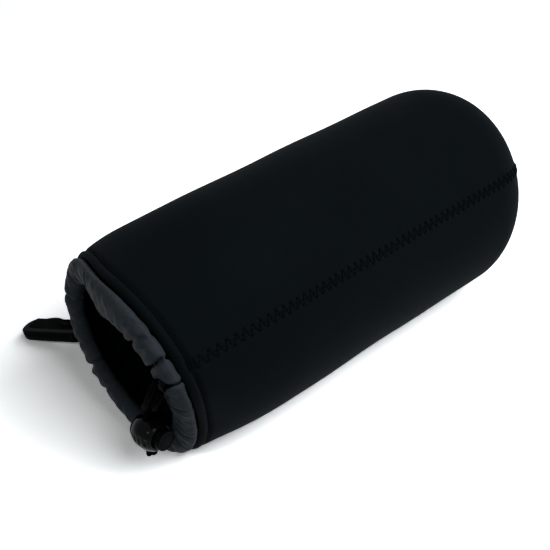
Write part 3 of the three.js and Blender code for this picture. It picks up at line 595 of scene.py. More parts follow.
def seam_band(name, place, length, pitch, depth, pucker=0, **ends):
    """A narrow band of jersey along a seam, with its back a depth below the skin."""
    asides = np.arange(-BAND, BAND + 0.01, 0.2)
    run, aside = np.meshgrid(np.arange(0, length, 0.3), asides, indexing="ij")
    puckers = pucker * (0.5 + 0.5 * np.cos(TURN * run / pitch)) * hump(aside, 2.4)
    top = place(run, aside, band_lift(run, aside, pitch) - puckers)
    under = place(run, aside, -depth)[:, ::-1]
    return grid(name, np.concatenate([top, under], axis=1), **ends)


def zigzag(count, pitch, place):
    """The thread's points: down each hole, over the groove, down the next."""
    along, pitches, aside, lift = STITCH
    return np.concatenate([
        place(k * pitch / 2 + along + pitch * pitches, (-1) ** k * aside, lift)
        for k in range(2 * count)
    ])


side_band = seam_band(
    "side_seam_band", on_side_seam, SEAM_RUN - 1.2 - SIDE_START, SIDE_PITCH, 1.6, caps=True
)
side_path = zigzag(SIDE_STITCHES - 1, SIDE_PITCH, on_side_seam)
side_thread = many_tubes("side_seam_zigzag", [side_path], THREAD)
base_band = seam_band(
    "base_seam_band", on_base_seam, GIRTH - 0.15, BASE_PITCH, 1.9, pucker=0.22, rows_close=True
)
base_path = zigzag(BASE_STITCHES, BASE_PITCH, lambda r, a, h: on_base_seam(r, a, h - 0.1))[:-1]
base_thread = many_tubes("base_seam_zigzag", [base_path], THREAD)
print("stitches: side", SIDE_STITCHES - 1, "base", BASE_STITCHES, "pitch mm", round(BASE_PITCH, 2))

# %% Stitches in the groove behind the channel
share = np.linspace(0, 1, 7)
dashes = [
    skin(
        0.12 * np.sin(k * 2.4),
        k * TURN / HEM_STITCHES + (0.1 + 0.8 * share) * TURN / HEM_STITCHES,
        1.42 - 0.42 * np.sin(share * math.pi),
    )
    for k in range(HEM_STITCHES)
]
hem_stitches = many_tubes("hem_stitches", dashes, 0.24)
print("groove stitches", HEM_STITCHES)

# %% [markdown]
# ## The drawstring channel
# A folded strip of thin nylon round the mouth, sewn into the groove, with the cord inside. The cord
# gathers it, so it has sharp creases on the cord's side, puffy lobes between them and a smooth
# satin stretch at the top. A simulation would put its creases somewhere else than the photo does,
# so they are placed one by one: each is a turn, a depth, a slant and how far it runs inwards.

# %% Channel, sewn, gathered and split where the cord comes out
# Millimetres of channel for each radian, at its creases, at its cuffs and at its outer edge.
CREASE_REACH, CUFF_REACH, LIP_REACH = 38.0, 40, 46
SWELLS = [
    # mm wider, how narrow the swell is and where, in degrees: the flare at the top, the part that
    # the cord pulls over there, and the far side, where the strip is tucked in
    (3.4, 4, 82), (6.6, 7, 72), (-3.2, 4, 8),
]
SECTION = [
    # shares of the width inwards and of the half thickness forwards
    (0, -0.1), (0.06, 0.35), (0.2, 0.8), (0.4, 1), (0.65, 1), (0.88, 0.85), (0.98, 0.35),
    (1, -0.3), (0.9, -0.85), (0.7, -1), (0.45, -0.95), (0.2, -0.9), (0.05, -0.6),
]
CREASES = [
    # degrees, depth, width and slant in mm, and the shares of the strip where it starts and ends
    (68, 0.6, 0.8, 3.2, 0.05, 0.6), (129.5, 1.3, 0.75, 2.0, 0.1, 1.0),
    (135.5, 0.45, 0.8, -1.6, 0.2, 0.8), (144.8, 2.8, 0.7, -3.0, 0.02, 1.1),
    (122, 0.3, 0.9, 1.4, 0.3, 1.0), (112, 0.22, 1.1, -1.6, 0.3, 0.9),
    (166, 0.4, 0.9, -1.0, 0.3, 1.1), (178, 2.4, 0.75, 1.2, 0.02, 1.1),
    (196, 0.45, 1.1, -1.2, 0.4, 1.1), (213, 2.2, 0.75, 1.8, 0.0, 0.9),
    (228, 0.4, 1.1, -1.2, 0.2, 1.0), (4, 1.2, 1.2, 0.5, 0.0, 1.1),
    (318, 1.2, 1.1, -0.6, 0.0, 1.1), (24, 0.4, 1.1, 1.4, 0.2, 1.1),
    (44, 0.5, 1.1, -1.0, 0.1, 1.0), (242, 0.5, 1.1, 1.2, 0.1, 1.1),
    (262, 0.6, 1.2, 1.1, 0.1, 1.1), (284, 0.45, 1.2, -1.3, 0.2, 1.0),
    (301, 0.5, 1.1, 0.8, 0.0, 1.0), (335, 0.5, 1.2, 1.2, 0.1, 1.1),
    (350, 0.35, 1.1, -1.1, 0.2, 1.0),
]
section = np.array(SECTION)
for _ in range(3):
    ahead = np.roll(section, -1, axis=0)
    halves = [0.75 * section + 0.25 * ahead, 0.25 * section + 0.75 * ahead]
    section = np.stack(halves, axis=1).reshape(-1, 2)
inward, forward = section.T


def channel_width(turn):
    """The strip is wider at the top, where the cord pulls it over, and narrower at the far side."""
    width = CHANNEL_WIDTH
    for more, narrow, degrees in SWELLS:
        width = width + more * np.exp(narrow * (np.cos(turn - math.radians(degrees)) - 1))
    return width


def slit_gap(share):
    """Half the gap between the channel's two ends: a drop, widest where the cord leaves."""
    return 0.55 + 3.05 * hump(share - 0.56, 0.26)


def channel_relief(turn, share, front):
    """Creases, the puff beside them and fine wrinkles, in mm outwards."""
    relief = 0 * turn
    facing = 0.45 + 0.55 * step_up(front, -0.6, 0.5)
    for degrees, depth, wide, slant, low, high in CREASES:
        off = (turn - math.radians(degrees) + math.pi) % TURN - math.pi
        off = off * CREASE_REACH + slant * (share - 0.5)
        fade = step_up(share, low - 0.12, low + 0.1) * (1 - step_up(share, high - 0.12, high + 0.12))
        puff = 0.38 * min(depth, 1.3) * fade * facing
        relief = relief - depth * fade * facing * hump(off, wide)
        relief = relief + puff * (hump(off - 2.7, 1.7) + hump(off + 2.7, 1.7))
    top, near = ((turn - math.radians(degrees)) * CREASE_REACH for degrees in (95, 190))
    calm = 0.26 - 0.14 * hump(top, 26) - 0.1 * hump(near, 20)
    ripple = 0.09 * np.sin(turn * 61 + 5 * share) + 0.07 * np.sin(turn * 113 - 7 * share + 1.1)
    ripple = ripple + 0.05 * np.sin(turn * 187 + 11 * share)
    soft = 0.20 * np.sin(turn * 23 + 4 * share) * np.sin(7 * share + turn * 9)
    soft = soft + 0.10 * np.sin(turn * 41 - 9 * share)
    whip = -0.16 * (0.5 + 0.5 * np.cos(turn * 101)) * hump(share - 0.03, 0.075)
    return relief + facing * (calm * ripple + 0.8 * soft) + whip


def channel_rows():
    """Rings from one end of the channel round to the other, each end folded in to a pocket."""
    clear = math.radians(0.02)
    centres = np.linspace(CORD_TURN + clear, CORD_TURN - clear + TURN, 620)
    rows = []
    for centre in centres:
        from_start, to_end = centre - CORD_TURN, CORD_TURN + TURN - centre
        shift = slit_gap(inward) / (LIP_REACH - inward * CHANNEL_WIDTH)
        turn = centre + shift * np.exp(-from_start * 9) - shift * np.exp(-to_end * 9)
        half = CHANNEL_HALF * (1 + 0.1 * np.exp(-min(from_start, to_end) * 16))
        along = np.minimum(CHANNEL_MIDDLE - forward * half, CHANNEL_BACK)
        inset = CHANNEL_INSET + inward * channel_width(turn)
        rows.append(np.stack([along, turn, inset], axis=1))
    along, turn, inset = np.array(rows).transpose(2, 0, 1)
    relief = channel_relief(turn, inward[None, :] + 0 * turn, forward[None, :])
    edge = np.minimum(centres - CORD_TURN, CORD_TURN + TURN - centres)[:, None] * CUFF_REACH
    cuff = 0.35 * hump(edge - 1.2, 1.0) - 0.25 * hump(edge, 0.5)
    places = raised(skin(along, turn, inset), relief + cuff)
    pockets = []
    for end, back in ((places[0], places[12]), (places[-1], places[-13])):
        middle = end.mean(axis=0)
        way = unit(back.mean(axis=0) - middle)
        pockets.append(np.array([
            middle + (end - middle) * share + way * depth
            for share, depth in ((0.93, -0.10), (0.86, 0.05), (0.80, 0.7), (0.76, 2.0), (0.7, 3.4))
        ]))
    return np.concatenate([pockets[0][::-1], places, pockets[1]])


channel = grid("nylon_channel", channel_rows(), caps=True)
print("channel points", len(channel.data.vertices))

# %% The cord inside the channel, from one cuff all the way round to the other
EXIT_SPREAD, EXIT_BEND = 5.2, 2.4
ring_radius = (MOUTH_WIDE + MOUTH_HIGH) / 4 - BORE_INSET
exit_half, bend = EXIT_SPREAD / ring_radius / 2, EXIT_BEND / ring_radius
first, last = CORD_TURN + exit_half, CORD_TURN - exit_half + TURN
ring = [skin(CHANNEL_MIDDLE, t, BORE_INSET) for t in np.linspace(first + bend, last - bend, 90)]


def corner(turn, sign):
    """The cord's bend from an exit in the channel's front into the ring."""
    return [
        skin(CHANNEL_FRONT, turn, BORE_INSET),
        skin((CHANNEL_FRONT + CHANNEL_MIDDLE) / 2, turn + sign * bend / 4, BORE_INSET),
    ]


loop_path = smooth_path(corner(first, 1) + ring + corner(last, -1)[::-1], 0.3)
loop = grid("drawcord_ring", tube_rows(loop_path, CORD / 2, 20, relief=braid), caps=True)
print("cord in the channel mm", round(length_of(loop_path), 1))

# %% [markdown]
# ## The knot
# Both strands end in one overhand knot just under the lock. A ball would read as a bead, so the
# cord itself is wound along a small three-lobed knot and keeps its braid.

# %% Knot
KNOT_MIDDLE = -LOCK_RADIUS - GAP - 2.0
t = np.linspace(0, TURN, 240, endpoint=False)
lobes = [np.sin(t) + 2 * np.sin(2 * t), 1.15 * np.sin(3 * t), np.cos(t) - 2 * np.cos(2 * t)]
knot_path = np.stack(lobes, axis=1) * (0.56, 0.62, 0.56) + (0, KNOT_MIDDLE, 0)
rows = tube_rows(in_lock(knot_path), 1.16, 20, closed=True, relief=braid)
knot = grid("drawcord_knot_wound", rows, rows_close=True)
print("knot middle", in_lock((0, KNOT_MIDDLE, 0)).round(1))

# %% [markdown]
# ## The cord lock
# A moulded ball with a sprung button. The ball is turned from one profile on a fine grid, so the
# grip dimples that run round its belt are worked into the surface with soft edges, and the cords'
# slot is cut through. The button slides in its bore on a small coil.

# %% Ball, button and coil
BACK, FRONT, FRONT_RADIUS = 8.2, 6.2, 6.0
BORE, POCKET = 4.6 + 0.35, 1.3 - BACK
HALF_PAIR, SLOT_HALF = CORD + GAP / 2 + GAP, CORD / 2 + GAP
TOP, FLOOR, STROKE = FRONT + 3.4, -SLOT_HALF - 1.0, 2.4
GRIPS = 18
angles = np.linspace(0.004, math.pi / 2, 90)
share = np.linspace(0, 1, 44)[1:]
outside = np.vstack([
    np.column_stack([LOCK_RADIUS * np.sin(angles), -BACK * np.cos(angles)]),
    np.column_stack([LOCK_RADIUS + (FRONT_RADIUS - LOCK_RADIUS) * share**3, share * (FRONT - 0.25)]),
])
ball_profile = np.vstack([
    outside,
    [(5.94, 6.08), (5.8, 6.19), (5.55, 6.23), (5.25, 6.2), (BORE + 0.04, 6.1), (BORE, 5.95)],
    np.column_stack([np.full(12, BORE), np.linspace(5.7, POCKET + 0.1, 12)]),
    [(BORE - 0.1, POCKET), (2.5, POCKET), (0.02, POCKET)],
])


def grips(rows):
    """Dimples in a belt round the cords' way, none near the button."""
    x, y, z = np.moveaxis(rows, -1, 0)
    turn, step = np.arctan2(x, -z), TURN / GRIPS
    off = (turn + step / 2) % step - step / 2
    nearest = np.round(turn / step) * step
    dimple = np.exp(-((off * LOCK_RADIUS / 0.66) ** 4)) * np.exp(-((y / 1.42) ** 4))
    dimple = dimple * (np.cos(nearest) > -math.cos(math.radians(58)))
    dimple[len(outside):] = 0
    return -0.62 * dimple


def slot_cutter(low, high, reach):
    """A cutter for the cords' slot, with rounded corners."""
    x, z = rounded_box(-HALF_PAIR, HALF_PAIR, low, high, min((high - low) / 2, 1.5), 8).T
    rows = [np.column_stack([x, np.full(len(x), y), z]) for y in (-reach, reach)]
    return grid("slot_cutter", in_lock(np.array(rows)), caps=True)


barrel = turned("lock_ball", ball_profile, 200, in_lock, grips)
cut(barrel, slot_cutter(-SLOT_HALF, SLOT_HALF, 9))
button_profile = [
    (0.02, FLOOR), (4.3, FLOOR), (4.52, FLOOR + 0.08), (4.6, FLOOR + 0.3), (4.6, 0), (4.6, TOP - 1.1),
    (4.59, TOP - 0.75), (4.54, TOP - 0.45), (4.44, TOP - 0.22), (4.3, TOP - 0.09), (4.14, TOP - 0.05),
    (4.0, TOP - 0.1), (3.92, TOP - 0.22), (3.8, TOP - 0.28), (3.5, TOP - 0.27), (2.4, TOP - 0.2),
    (1.2, TOP - 0.16), (0.02, TOP - 0.15),
]
button = turned("lock_button_cap", button_profile, 96, in_lock)
cut(button, slot_cutter(-SLOT_HALF, SLOT_HALF + STROKE, 5))
coil_low, coil_high = POCKET + GAP, FLOOR - GAP
t = np.linspace(0, 3.1, 190)
rise = coil_low + 0.3 + (coil_high - coil_low - 0.6) * step_up(t, 0.05, 3.05)
coil_path = np.column_stack([2.62 * np.cos(TURN * t), 2.62 * np.sin(TURN * t), rise])
coil = grid("lock_coil", tube_rows(in_lock(coil_path), 0.28, 10), caps=True)
print("ball points", len(barrel.data.vertices), "button points", len(button.data.vertices))

# %% [markdown]
# ## The snap hook
# Three moulded pieces: a body with a nose, a spine and a collar, a bowed gate, and an eye that the
# body turns in. The body and the gate are outlines with worn corners, stacked in rings with
# rounded edges, which gives the long soft highlights of the photo, and the spine's outer side has
# a long round groove. The eye is a soft square section run round a frame.

# %% Hook, gate and eye
HOOK, EDGE, SPINE, NOSE, RETURN = 44.0, 7.8, 4.4, 3.0, 4.6
EYE_START = HOOK + 1.1 + 0.4
WINDOW, BAR = EYE_START + 3.3, EYE_START + 3.3 + 5.4
EYE_END, PIVOT = BAR + 3.0, BAR + 1.5
INSIDE = SPINE - EDGE
GATE_WIDTH, GATE_BOW, GATE_STEP, GATE_ROOT = 2.2, 3.1, 1.5, 38.0
GATE_LOW = EDGE - GATE_BOW - GATE_WIDTH
GATE_HIGH, CREST = GATE_LOW + GATE_WIDTH, GATE_LOW + GATE_BOW
hook_x = unit((0.28, -0.889, 0.36))
hook_y = unit((-hook_x[1], hook_x[0], 0))
hook_z = np.cross(hook_x, hook_y)
nose_point = skin(15.8, TAB_TURN, 0) - hook_x * (PIVOT + 7.5)


def in_hook(points):
    """Points of the hook's own frame, put in the pouch's: x from the nose to the tube, z thick."""
    return nose_point + np.asarray(points, float) @ np.stack([hook_x, hook_y, hook_z])


def along_hook(points):
    """A turned piece's own frame, with its axis laid along the hook."""
    return in_hook(np.roll(np.asarray(points, float), 1, axis=-1))


def spine_groove(x, y, z):
    """How deep the groove on the spine's outer side is cut, in mm."""
    long_enough = step_up(x, 3.2, 4.8) * (1 - step_up(x, 35.0, 37.0))
    return 0.95 * long_enough * (y < INSIDE - 1.2) * float(hump(z - 1.05, 0.75))


body_outline = np.vstack([
    [(HOOK, INSIDE), (HOOK, -EDGE / 2)],
    bow((HOOK, -EDGE / 2), (HOOK - NOSE, -EDGE), (HOOK - 8.6, -EDGE)),
    [(EDGE, -EDGE)],
    bow((EDGE, -EDGE), (0, -EDGE), (0, -NOSE / 2)),
    bow((0, -NOSE / 2), (0, GATE_LOW), (RETURN, GATE_HIGH)),
    [(RETURN, GATE_LOW)],
    bow((RETURN, GATE_LOW), (NOSE, INSIDE), (NOSE + RETURN, INSIDE)),
    [(GATE_ROOT - GATE_WIDTH, INSIDE)],
    bow((GATE_ROOT - GATE_WIDTH, INSIDE), (GATE_ROOT, INSIDE), (GATE_ROOT, -GATE_WIDTH / 2)),
    [(GATE_ROOT, GATE_HIGH), (HOOK - 2.2, GATE_HIGH), (HOOK, GATE_LOW)],
])
hook_rows = plate_rows(softened(body_outline, 3), 2.6, 1.0, spine_groove)
hook_body = plate("snap_hook_body", hook_rows, in_hook)
collar_profile = [
    (0.02, HOOK - 4.4), (3.9, HOOK - 4.4), (4.2, HOOK - 4.25), (4.3, HOOK - 3.9), (4.3, HOOK - 2.6),
    (4.2, HOOK - 2.35), (4.05, HOOK - 2.2), (4.2, HOOK - 2.05), (4.3, HOOK - 1.8), (4.3, HOOK + 0.6),
    (4.2, HOOK + 0.95), (3.9, HOOK + 1.1), (2.0, HOOK + 1.1), (1.9, HOOK + 1.2),
    (1.9, WINDOW + 0.35), (2.0, WINDOW + 0.4), (2.85, WINDOW + 0.42), (3.0, WINDOW + 0.6),
    (2.9, WINDOW + 0.95), (2.35, WINDOW + 1.65), (1.9, WINDOW + 1.7), (0.02, WINDOW + 1.7),
]
collar = turned("snap_hook_collar", collar_profile, 64, along_hook)
free, root = RETURN + 0.4, GATE_ROOT - 0.4
knee = free + (root - free) * 0.46
after_knee = GATE_LOW + GATE_STEP
top_control = ((free + knee) / 2, 2 * CREST - (GATE_LOW + after_knee) / 2)
gate_outline = np.vstack([
    [(free, GATE_LOW)],
    bow((free, GATE_LOW), top_control, (knee, after_knee + 1.1), 30),
    [(knee, GATE_HIGH), (root, GATE_HIGH), (root, GATE_LOW), (knee - GATE_WIDTH, GATE_LOW)],
    bow((knee - GATE_WIDTH, GATE_LOW), ((free + knee) / 2, CREST), (free + 1.1, GATE_LOW), 30),
])
gate = plate("snap_hook_gate", plate_rows(softened(gate_outline, 2, 0.3), 2.2, 0.6), in_hook)

# %% The eye, bored for the hook's post
EYE_WALL = 2.3
HALF_EYE = 11.6 / 2 + GAP + EYE_WALL
eye_out = rounded_box(EYE_START, EYE_END, -HALF_EYE, HALF_EYE, 1.7, 14)
eye_in = rounded_box(WINDOW, BAR, EYE_WALL - HALF_EYE, HALF_EYE - EYE_WALL, 0.9, 14)
middle, half = (eye_out + eye_in) / 2, (eye_out - eye_in) / 2
thick = 2.2 - 0.7 * step_up(middle[:, 0], BAR + 0.3, BAR + 1.2)
b = np.arange(28) * TURN / 28
swing, rise = (np.sign(w) * np.abs(w) ** 0.55 for w in (np.cos(b), np.sin(b)))
flat = middle[:, None, :] + half[:, None, :] * swing[None, :, None]
sections = np.concatenate([flat, (thick[:, None] * rise)[..., None]], axis=2)
dense = []
for section, following in zip(sections, np.roll(sections, -1, axis=0)):
    span = max(1, int(np.linalg.norm(following.mean(axis=0) - section.mean(axis=0)) / 0.6))
    dense += [section + (following - section) * s / span for s in range(span)]
hook_eye = grid("snap_hook_eye", in_hook(np.array(dense)), rows_close=True)
post = [(2.3 * math.cos(a), 2.3 * math.sin(a)) for a in np.arange(40) * TURN / 40]
post_rows = np.array([[(*p, x) for p in post] for x in (EYE_START - 3, WINDOW + 1.2)])
cut(hook_eye, grid("bore_cutter", along_hook(post_rows), caps=True))
print("hook points", len(hook_body.data.vertices), "nose at", nose_point.round(1))

# %% [markdown]
# ## Webbing: the hook's tab and the belt strap
# Flat woven webbing doesn't drape, so both are laid out directly: a thin band with rounded
# selvages and raised ribs. The tab goes from the tube round the eye's bar and back. The strap is
# sewn down at both ends and stands off the tube between, so that a belt can pass.


# %% The hook's tab
def band(name, lines, thickness, rib, sideways):
    """A ribbed band through lines of points (along, across, 3). sideways is its way across."""
    size = lines.shape[1]
    up = unit(np.cross(np.gradient(lines[:, size // 2], axis=0), sideways))[:, None, :]
    share = np.linspace(-1, 1, size)
    width = np.linalg.norm(lines[0, -1] - lines[0, 0])
    ribs = 0.5 + 0.5 * np.cos(TURN * share * width / 2 / rib)
    half = thickness / 2 * np.sqrt(np.clip(1 - np.abs(share) ** 8, 0.02, 1))
    lift = up * (half + 0.10 * (ribs - 1) * (np.abs(share) < 0.93))[None, :, None]
    return grid(name, np.concatenate([lines + lift, (lines - lift)[:, ::-1]], axis=1), caps=True)


TAB_HALF, TAB_THICK, SEWN_IN = 5.8, 1.3, 0.7
BEND = math.hypot(3, 3) / 2 + GAP + TAB_THICK / 2
skin_points = hull(*np.meshgrid(np.arange(-2, 120, 2.0), around[::3], indexing="ij"), 0)
skin_faces, _ = walls(61, 120, np.zeros(62), np.zeros(121))
skin_tree = BVHTree.FromPolygons(skin_points.reshape(-1, 3).tolist(), skin_faces.tolist())
lines = []
for side in np.linspace(-TAB_HALF, TAB_HALF, 41):
    upper_leg, lower_leg = (
        skin_tree.ray_cast(Vector(in_hook((PIVOT, side, level))), Vector(hook_x))[3] + SEWN_IN
        for level in (BEND, -BEND)
    )
    upper = [(PIVOT + x, side, BEND) for x in np.linspace(upper_leg, 0.3, 26)]
    bent = [
        (PIVOT + BEND * math.cos(a), side, BEND * math.sin(a))
        for a in np.linspace(math.pi / 2, 3 * math.pi / 2, 26)
    ]
    lower = [(PIVOT + x, side, -BEND) for x in np.linspace(0.3, lower_leg, 26)]
    lines.append(in_hook(upper + bent + lower))
tab = band("hook_tab_webbing", np.array(lines).transpose(1, 0, 2), TAB_THICK, 1.45, hook_y)
print("tab points", len(tab.data.vertices))

# %% The belt strap and its tacks
STRAP_HALF, STRAP_THICK, STRAP_START, STRAP = 12.5, 1.7, 54.0, 84.0
FOOT, SLOPE, CLEAR = 14.0, 7.0, 8.4
TACK_HALF, TACK_END, TACK_WIDE = 10.4, 2.0, 3.0
strap_out = unit((0, math.cos(STRAP_TURN) / (WIDE / 2), math.sin(STRAP_TURN) / (HIGH / 2)))
strap_across = np.cross((1, 0, 0), strap_out)


def on_strap(along, aside, height):
    """A place on the belt strap: feet that follow the tube and a middle that stands off it, flat."""
    along, aside, height = spread(along, aside, height)
    up = step_up(along, FOOT - 1.5, FOOT + SLOPE + 1.5)
    rise = up * (1 - step_up(along, STRAP - FOOT - SLOPE - 1.5, STRAP - FOOT + 1.5))
    curved = skin(STRAP_START + along, STRAP_TURN + aside / (HIGH / 2), 0)
    flat = skin(STRAP_START + along, STRAP_TURN, 0) + strap_across * aside[..., None]
    sag = -0.5 * np.sin(np.clip((along - FOOT) / (STRAP - 2 * FOOT), 0, 1) * math.pi) ** 2
    place = curved + (flat - curved) * rise[..., None]
    return place + strap_out * (rise * CLEAR + sag + height)[..., None]


def tack(name, start):
    """Dense zigzag thread over the strap's foot, with three rows of straight stitches."""
    zig = np.arange(0, 61)
    middle = start + TACK_WIDE / 2
    across = -TACK_HALF + zig * 2 * TACK_HALF / 60
    paths = [on_strap(middle + np.where(zig % 2 == 0, -1.15, 1.15), across, 2.28)]
    across = np.linspace(-TACK_HALF, TACK_HALF, 90)
    for row in (-1.35, 0.0, 1.35):
        paths.append(on_strap(middle + row, across, 2.2 + 0.1 * np.sin(across * 6)))
    return many_tubes(name, paths, 0.26)


asides = np.linspace(-STRAP_HALF, STRAP_HALF, 91)
along, aside = np.meshgrid(np.linspace(0, STRAP, 150), asides, indexing="ij")
strap_lines = on_strap(along, aside, 0.3 + 0.9)
strap = band("belt_strap_webbing", strap_lines, STRAP_THICK, 1.55, -strap_across)
front_tack = tack("belt_strap_front_stitches", TACK_END)
rear_tack = tack("belt_strap_rear_stitches", STRAP - TACK_END - TACK_WIDE)
print("strap points", len(strap.data.vertices))

# %% [markdown]
# ## Finishes
# Each finish is worked out at every place of the surface, with no pictures. A small class lets
# sums over the surface be written as plain sums, and one method makes any other node. Lengths in
# the maps are metres, so a pitch in the code is the real pitch.


# %% Sums over a surface
class Amount:
    """A number or colour that a finish works out at each place of a surface."""

    def __init__(self, nodes, socket):
        self.nodes, self.socket = nodes, socket

    def job(self, operation, *others):
        inputs = dict(enumerate((self, *others)))
        return self.nodes.node("ShaderNodeMath", {"operation": operation}, inputs)

    def __add__(self, other):
        return self.job("ADD", other)

    def __mul__(self, other):
        return self.job("MULTIPLY", other)

    def __sub__(self, other):
        return self.job("SUBTRACT", other)

    def __truediv__(self, other):
        return self.job("DIVIDE", other)

    def __rsub__(self, other):
        return self * -1 + other

    def __rtruediv__(self, other):
        return self.job("POWER", -1) * other

    def __abs__(self):
        return self.job("ABSOLUTE")

    __radd__, __rmul__ = __add__, __mul__

    def most(self, other):
        return self.job("MAXIMUM", other)

    def wave(self):
        """A sine of this amount, taken in turns, from 0 to 1."""
        return (self * TURN).job("SINE") * 0.5 + 0.5

    def fraction(self):
        return self.job("FRACT")


class Nodes:
    """A tree of nodes being made, for a material or for the world."""

    def __init__(self, tree):
        self.tree = tree

    def feed(self, socket, value):
        if isinstance(value, Amount):
            self.tree.links.new(value.socket, socket)
        else:
            socket.default_value = value

    def node(self, kind, settings=None, inputs=None, output=0):
        made = self.tree.nodes.new(kind)
        for label, value in (settings or {}).items():
            setattr(made, label, value)
        for label, value in (inputs or {}).items():
            self.feed(made.inputs[label], value)
        return Amount(self, made.outputs[output])

    def seen(self):
        """1 where the camera looks, straight or by way of a mirror-like or clear surface."""
        looks = self.node("ShaderNodeLightPath", output="Is Camera Ray")
        for ray in ("Is Glossy Ray", "Is Transmission Ray"):
            looks = looks.most(self.node("ShaderNodeLightPath", output=ray))
        return looks


class Finish(Nodes):
    """A material being made: its shader, with steady values set on it and varying ones linked."""

    def __init__(self, name, **steady):
        self.material = bpy.data.materials.new(name)
        self.material.use_nodes = True
        super().__init__(self.material.node_tree)
        self.tree.nodes.clear()
        self.shader = self.tree.nodes.new("ShaderNodeBsdfPrincipled")
        self.end = self.tree.nodes.new("ShaderNodeOutputMaterial")
        self.tree.links.new(self.shader.outputs[0], self.end.inputs["Surface"])
        self.vary(**steady)

    def vary(self, **values):
        for label, value in values.items():
            self.feed(self.shader.inputs[label.replace("_", " ")], value)

    def coloured(self, dark, light, share, roughness):
        """A base colour between two others by a share, and how rough it is."""
        self.vary(Base_Color=self.between(dark, light, share), Roughness=roughness)

    def place(self):
        """The place on the object, in metres."""
        return self.node("ShaderNodeTexCoord", output="Object")

    def lengths(self):
        """Metres along and across the piece, from its map."""
        map_node = self.node("ShaderNodeUVMap", {"uv_map": "lengths"})
        return tuple(self.node("ShaderNodeSeparateXYZ", {}, {0: map_node}, k) for k in (0, 1))

    def noise(self, per_metre, detail=2.0, rough=0.5):
        return self.node("ShaderNodeTexNoise", {}, {
            "Vector": self.place(), "Scale": per_metre, "Detail": detail, "Roughness": rough})

    def between(self, low, high, share):
        """A colour between two others."""
        return self.node("ShaderNodeMix", {"data_type": "RGBA"}, {
            0: share, 6: (*low, 1), 7: (*high, 1)}, output=2)

    def ramp(self, value, low, high):
        """0 below low, 1 above high, smooth between."""
        return self.node("ShaderNodeMapRange", {"interpolation_type": "SMOOTHSTEP"}, {
            "Value": value, "From Min": low, "From Max": high})

    def seen_brighter(self, layer, unseen):
        """What the camera sees has a second matte layer. All other light meets a greyer one."""
        extra, grey = (
            self.node("ShaderNodeBsdfDiffuse", {}, {"Color": (*colour, 1)})
            for colour in (layer, unseen)
        )
        first = Amount(self, self.shader.outputs[0])
        bright = self.node("ShaderNodeAddShader", {}, {0: first, 1: extra})
        chosen = self.node("ShaderNodeMixShader", {}, {0: self.seen(), 1: grey, 2: bright})
        self.feed(self.end.inputs["Surface"], chosen)

    def bumps(self, *layers):
        """Bump layers of (height amount, depth in mm), finest last."""
        normal = None
        for height, depth in layers:
            inputs = {"Height": height, "Distance": depth * MM, "Strength": 1.0}
            if normal is not None:
                inputs["Normal"] = normal
            normal = self.node("ShaderNodeBump", {}, inputs)
        self.vary(Normal=normal)
        return self.material


# %% [markdown]
# The jersey is a matte knit: fine vertical wales, a slightly mottled black, and a faint bloom where
# it is seen at a low angle. The nylon is smoother and lighter, with a silky shine and tiny creases.

# %% Jersey and nylon
def jersey():
    finish = Finish("black_jersey", Specular_IOR_Level=0.018, Sheen_Weight=0.006, Sheen_Roughness=0.45,
                    Sheen_Tint=(0.75, 0.88, 1.0, 1.0))
    along, across = finish.lengths()
    cloudy = finish.noise(28, 4, 0.6)
    grain = finish.noise(900, 3, 0.7)
    lint = finish.ramp(finish.noise(420, 1, 0.4), 0.70, 0.78)
    share = cloudy * 0.9 + grain * 0.5 - 0.25
    rough = 0.74 + grain * 0.2 - lint * 0.1
    finish.coloured((0.0018, 0.0031, 0.0037), (0.0036, 0.0054, 0.0062), share, rough)
    wale = (across / (0.62 * MM)).fraction() - 0.5
    lean = (along / (0.5 * MM) + abs(wale) * 1.3).wave()
    knit = lean * (1 - abs(wale) * 1.2)
    return finish.bumps((cloudy, 0.30), (grain, 0.05), (knit, 0.045))


def taffeta():
    finish = Finish("thin_nylon", Specular_IOR_Level=0.012, Sheen_Weight=0.01, Sheen_Roughness=0.35,
                    Sheen_Tint=(0.85, 0.9, 1.0, 1.0))
    along, across = finish.lengths()
    cloudy = finish.noise(60, 3, 0.6)
    crumple = finish.noise(210, 3, 0.65)
    fine = finish.noise(700, 2, 0.6)
    weave = (along / (0.36 * MM)).wave() * (across / (0.36 * MM)).wave()
    share = cloudy * 0.8 + fine * 0.4 - 0.1
    rough = 0.40 + crumple * 0.22 + weave * 0.05
    finish.coloured((0.0185, 0.0232, 0.0274), (0.0370, 0.0450, 0.0530), share, rough)
    return finish.bumps((crumple, 0.50), (fine, 0.10), (weave, 0.02))


black_jersey, thin_nylon = jersey(), taffeta()
print("cloth finishes", black_jersey.name, thin_nylon.name)

# %% [markdown]
# Thread is twisted, so fine slanting ridges run along it. The braid's yarns are in the mesh, and
# its finish adds their fibres and the light specks that the photo shows. The specks are a painted
# highlight: lighter colour in small spots where the yarns would catch the light, a little glossier
# there too. Webbing has picks across its ribs.


# %% Thread, braid and webbing
def thread():
    finish = Finish("sewing_thread", Specular_IOR_Level=0.01, Sheen_Weight=0.003)
    along, across = finish.lengths()
    twist = (along / (0.5 * MM) + across / (0.6 * MM)).wave()
    grain = finish.noise(2500, 2, 0.6)
    share, rough = twist * 0.7 + grain * 0.3, 0.5 + grain * 0.2
    finish.coloured((0.0010, 0.0014, 0.0017), (0.0026, 0.0034, 0.0038), share, rough)
    return finish.bumps((grain, 0.03), (twist, 0.06))


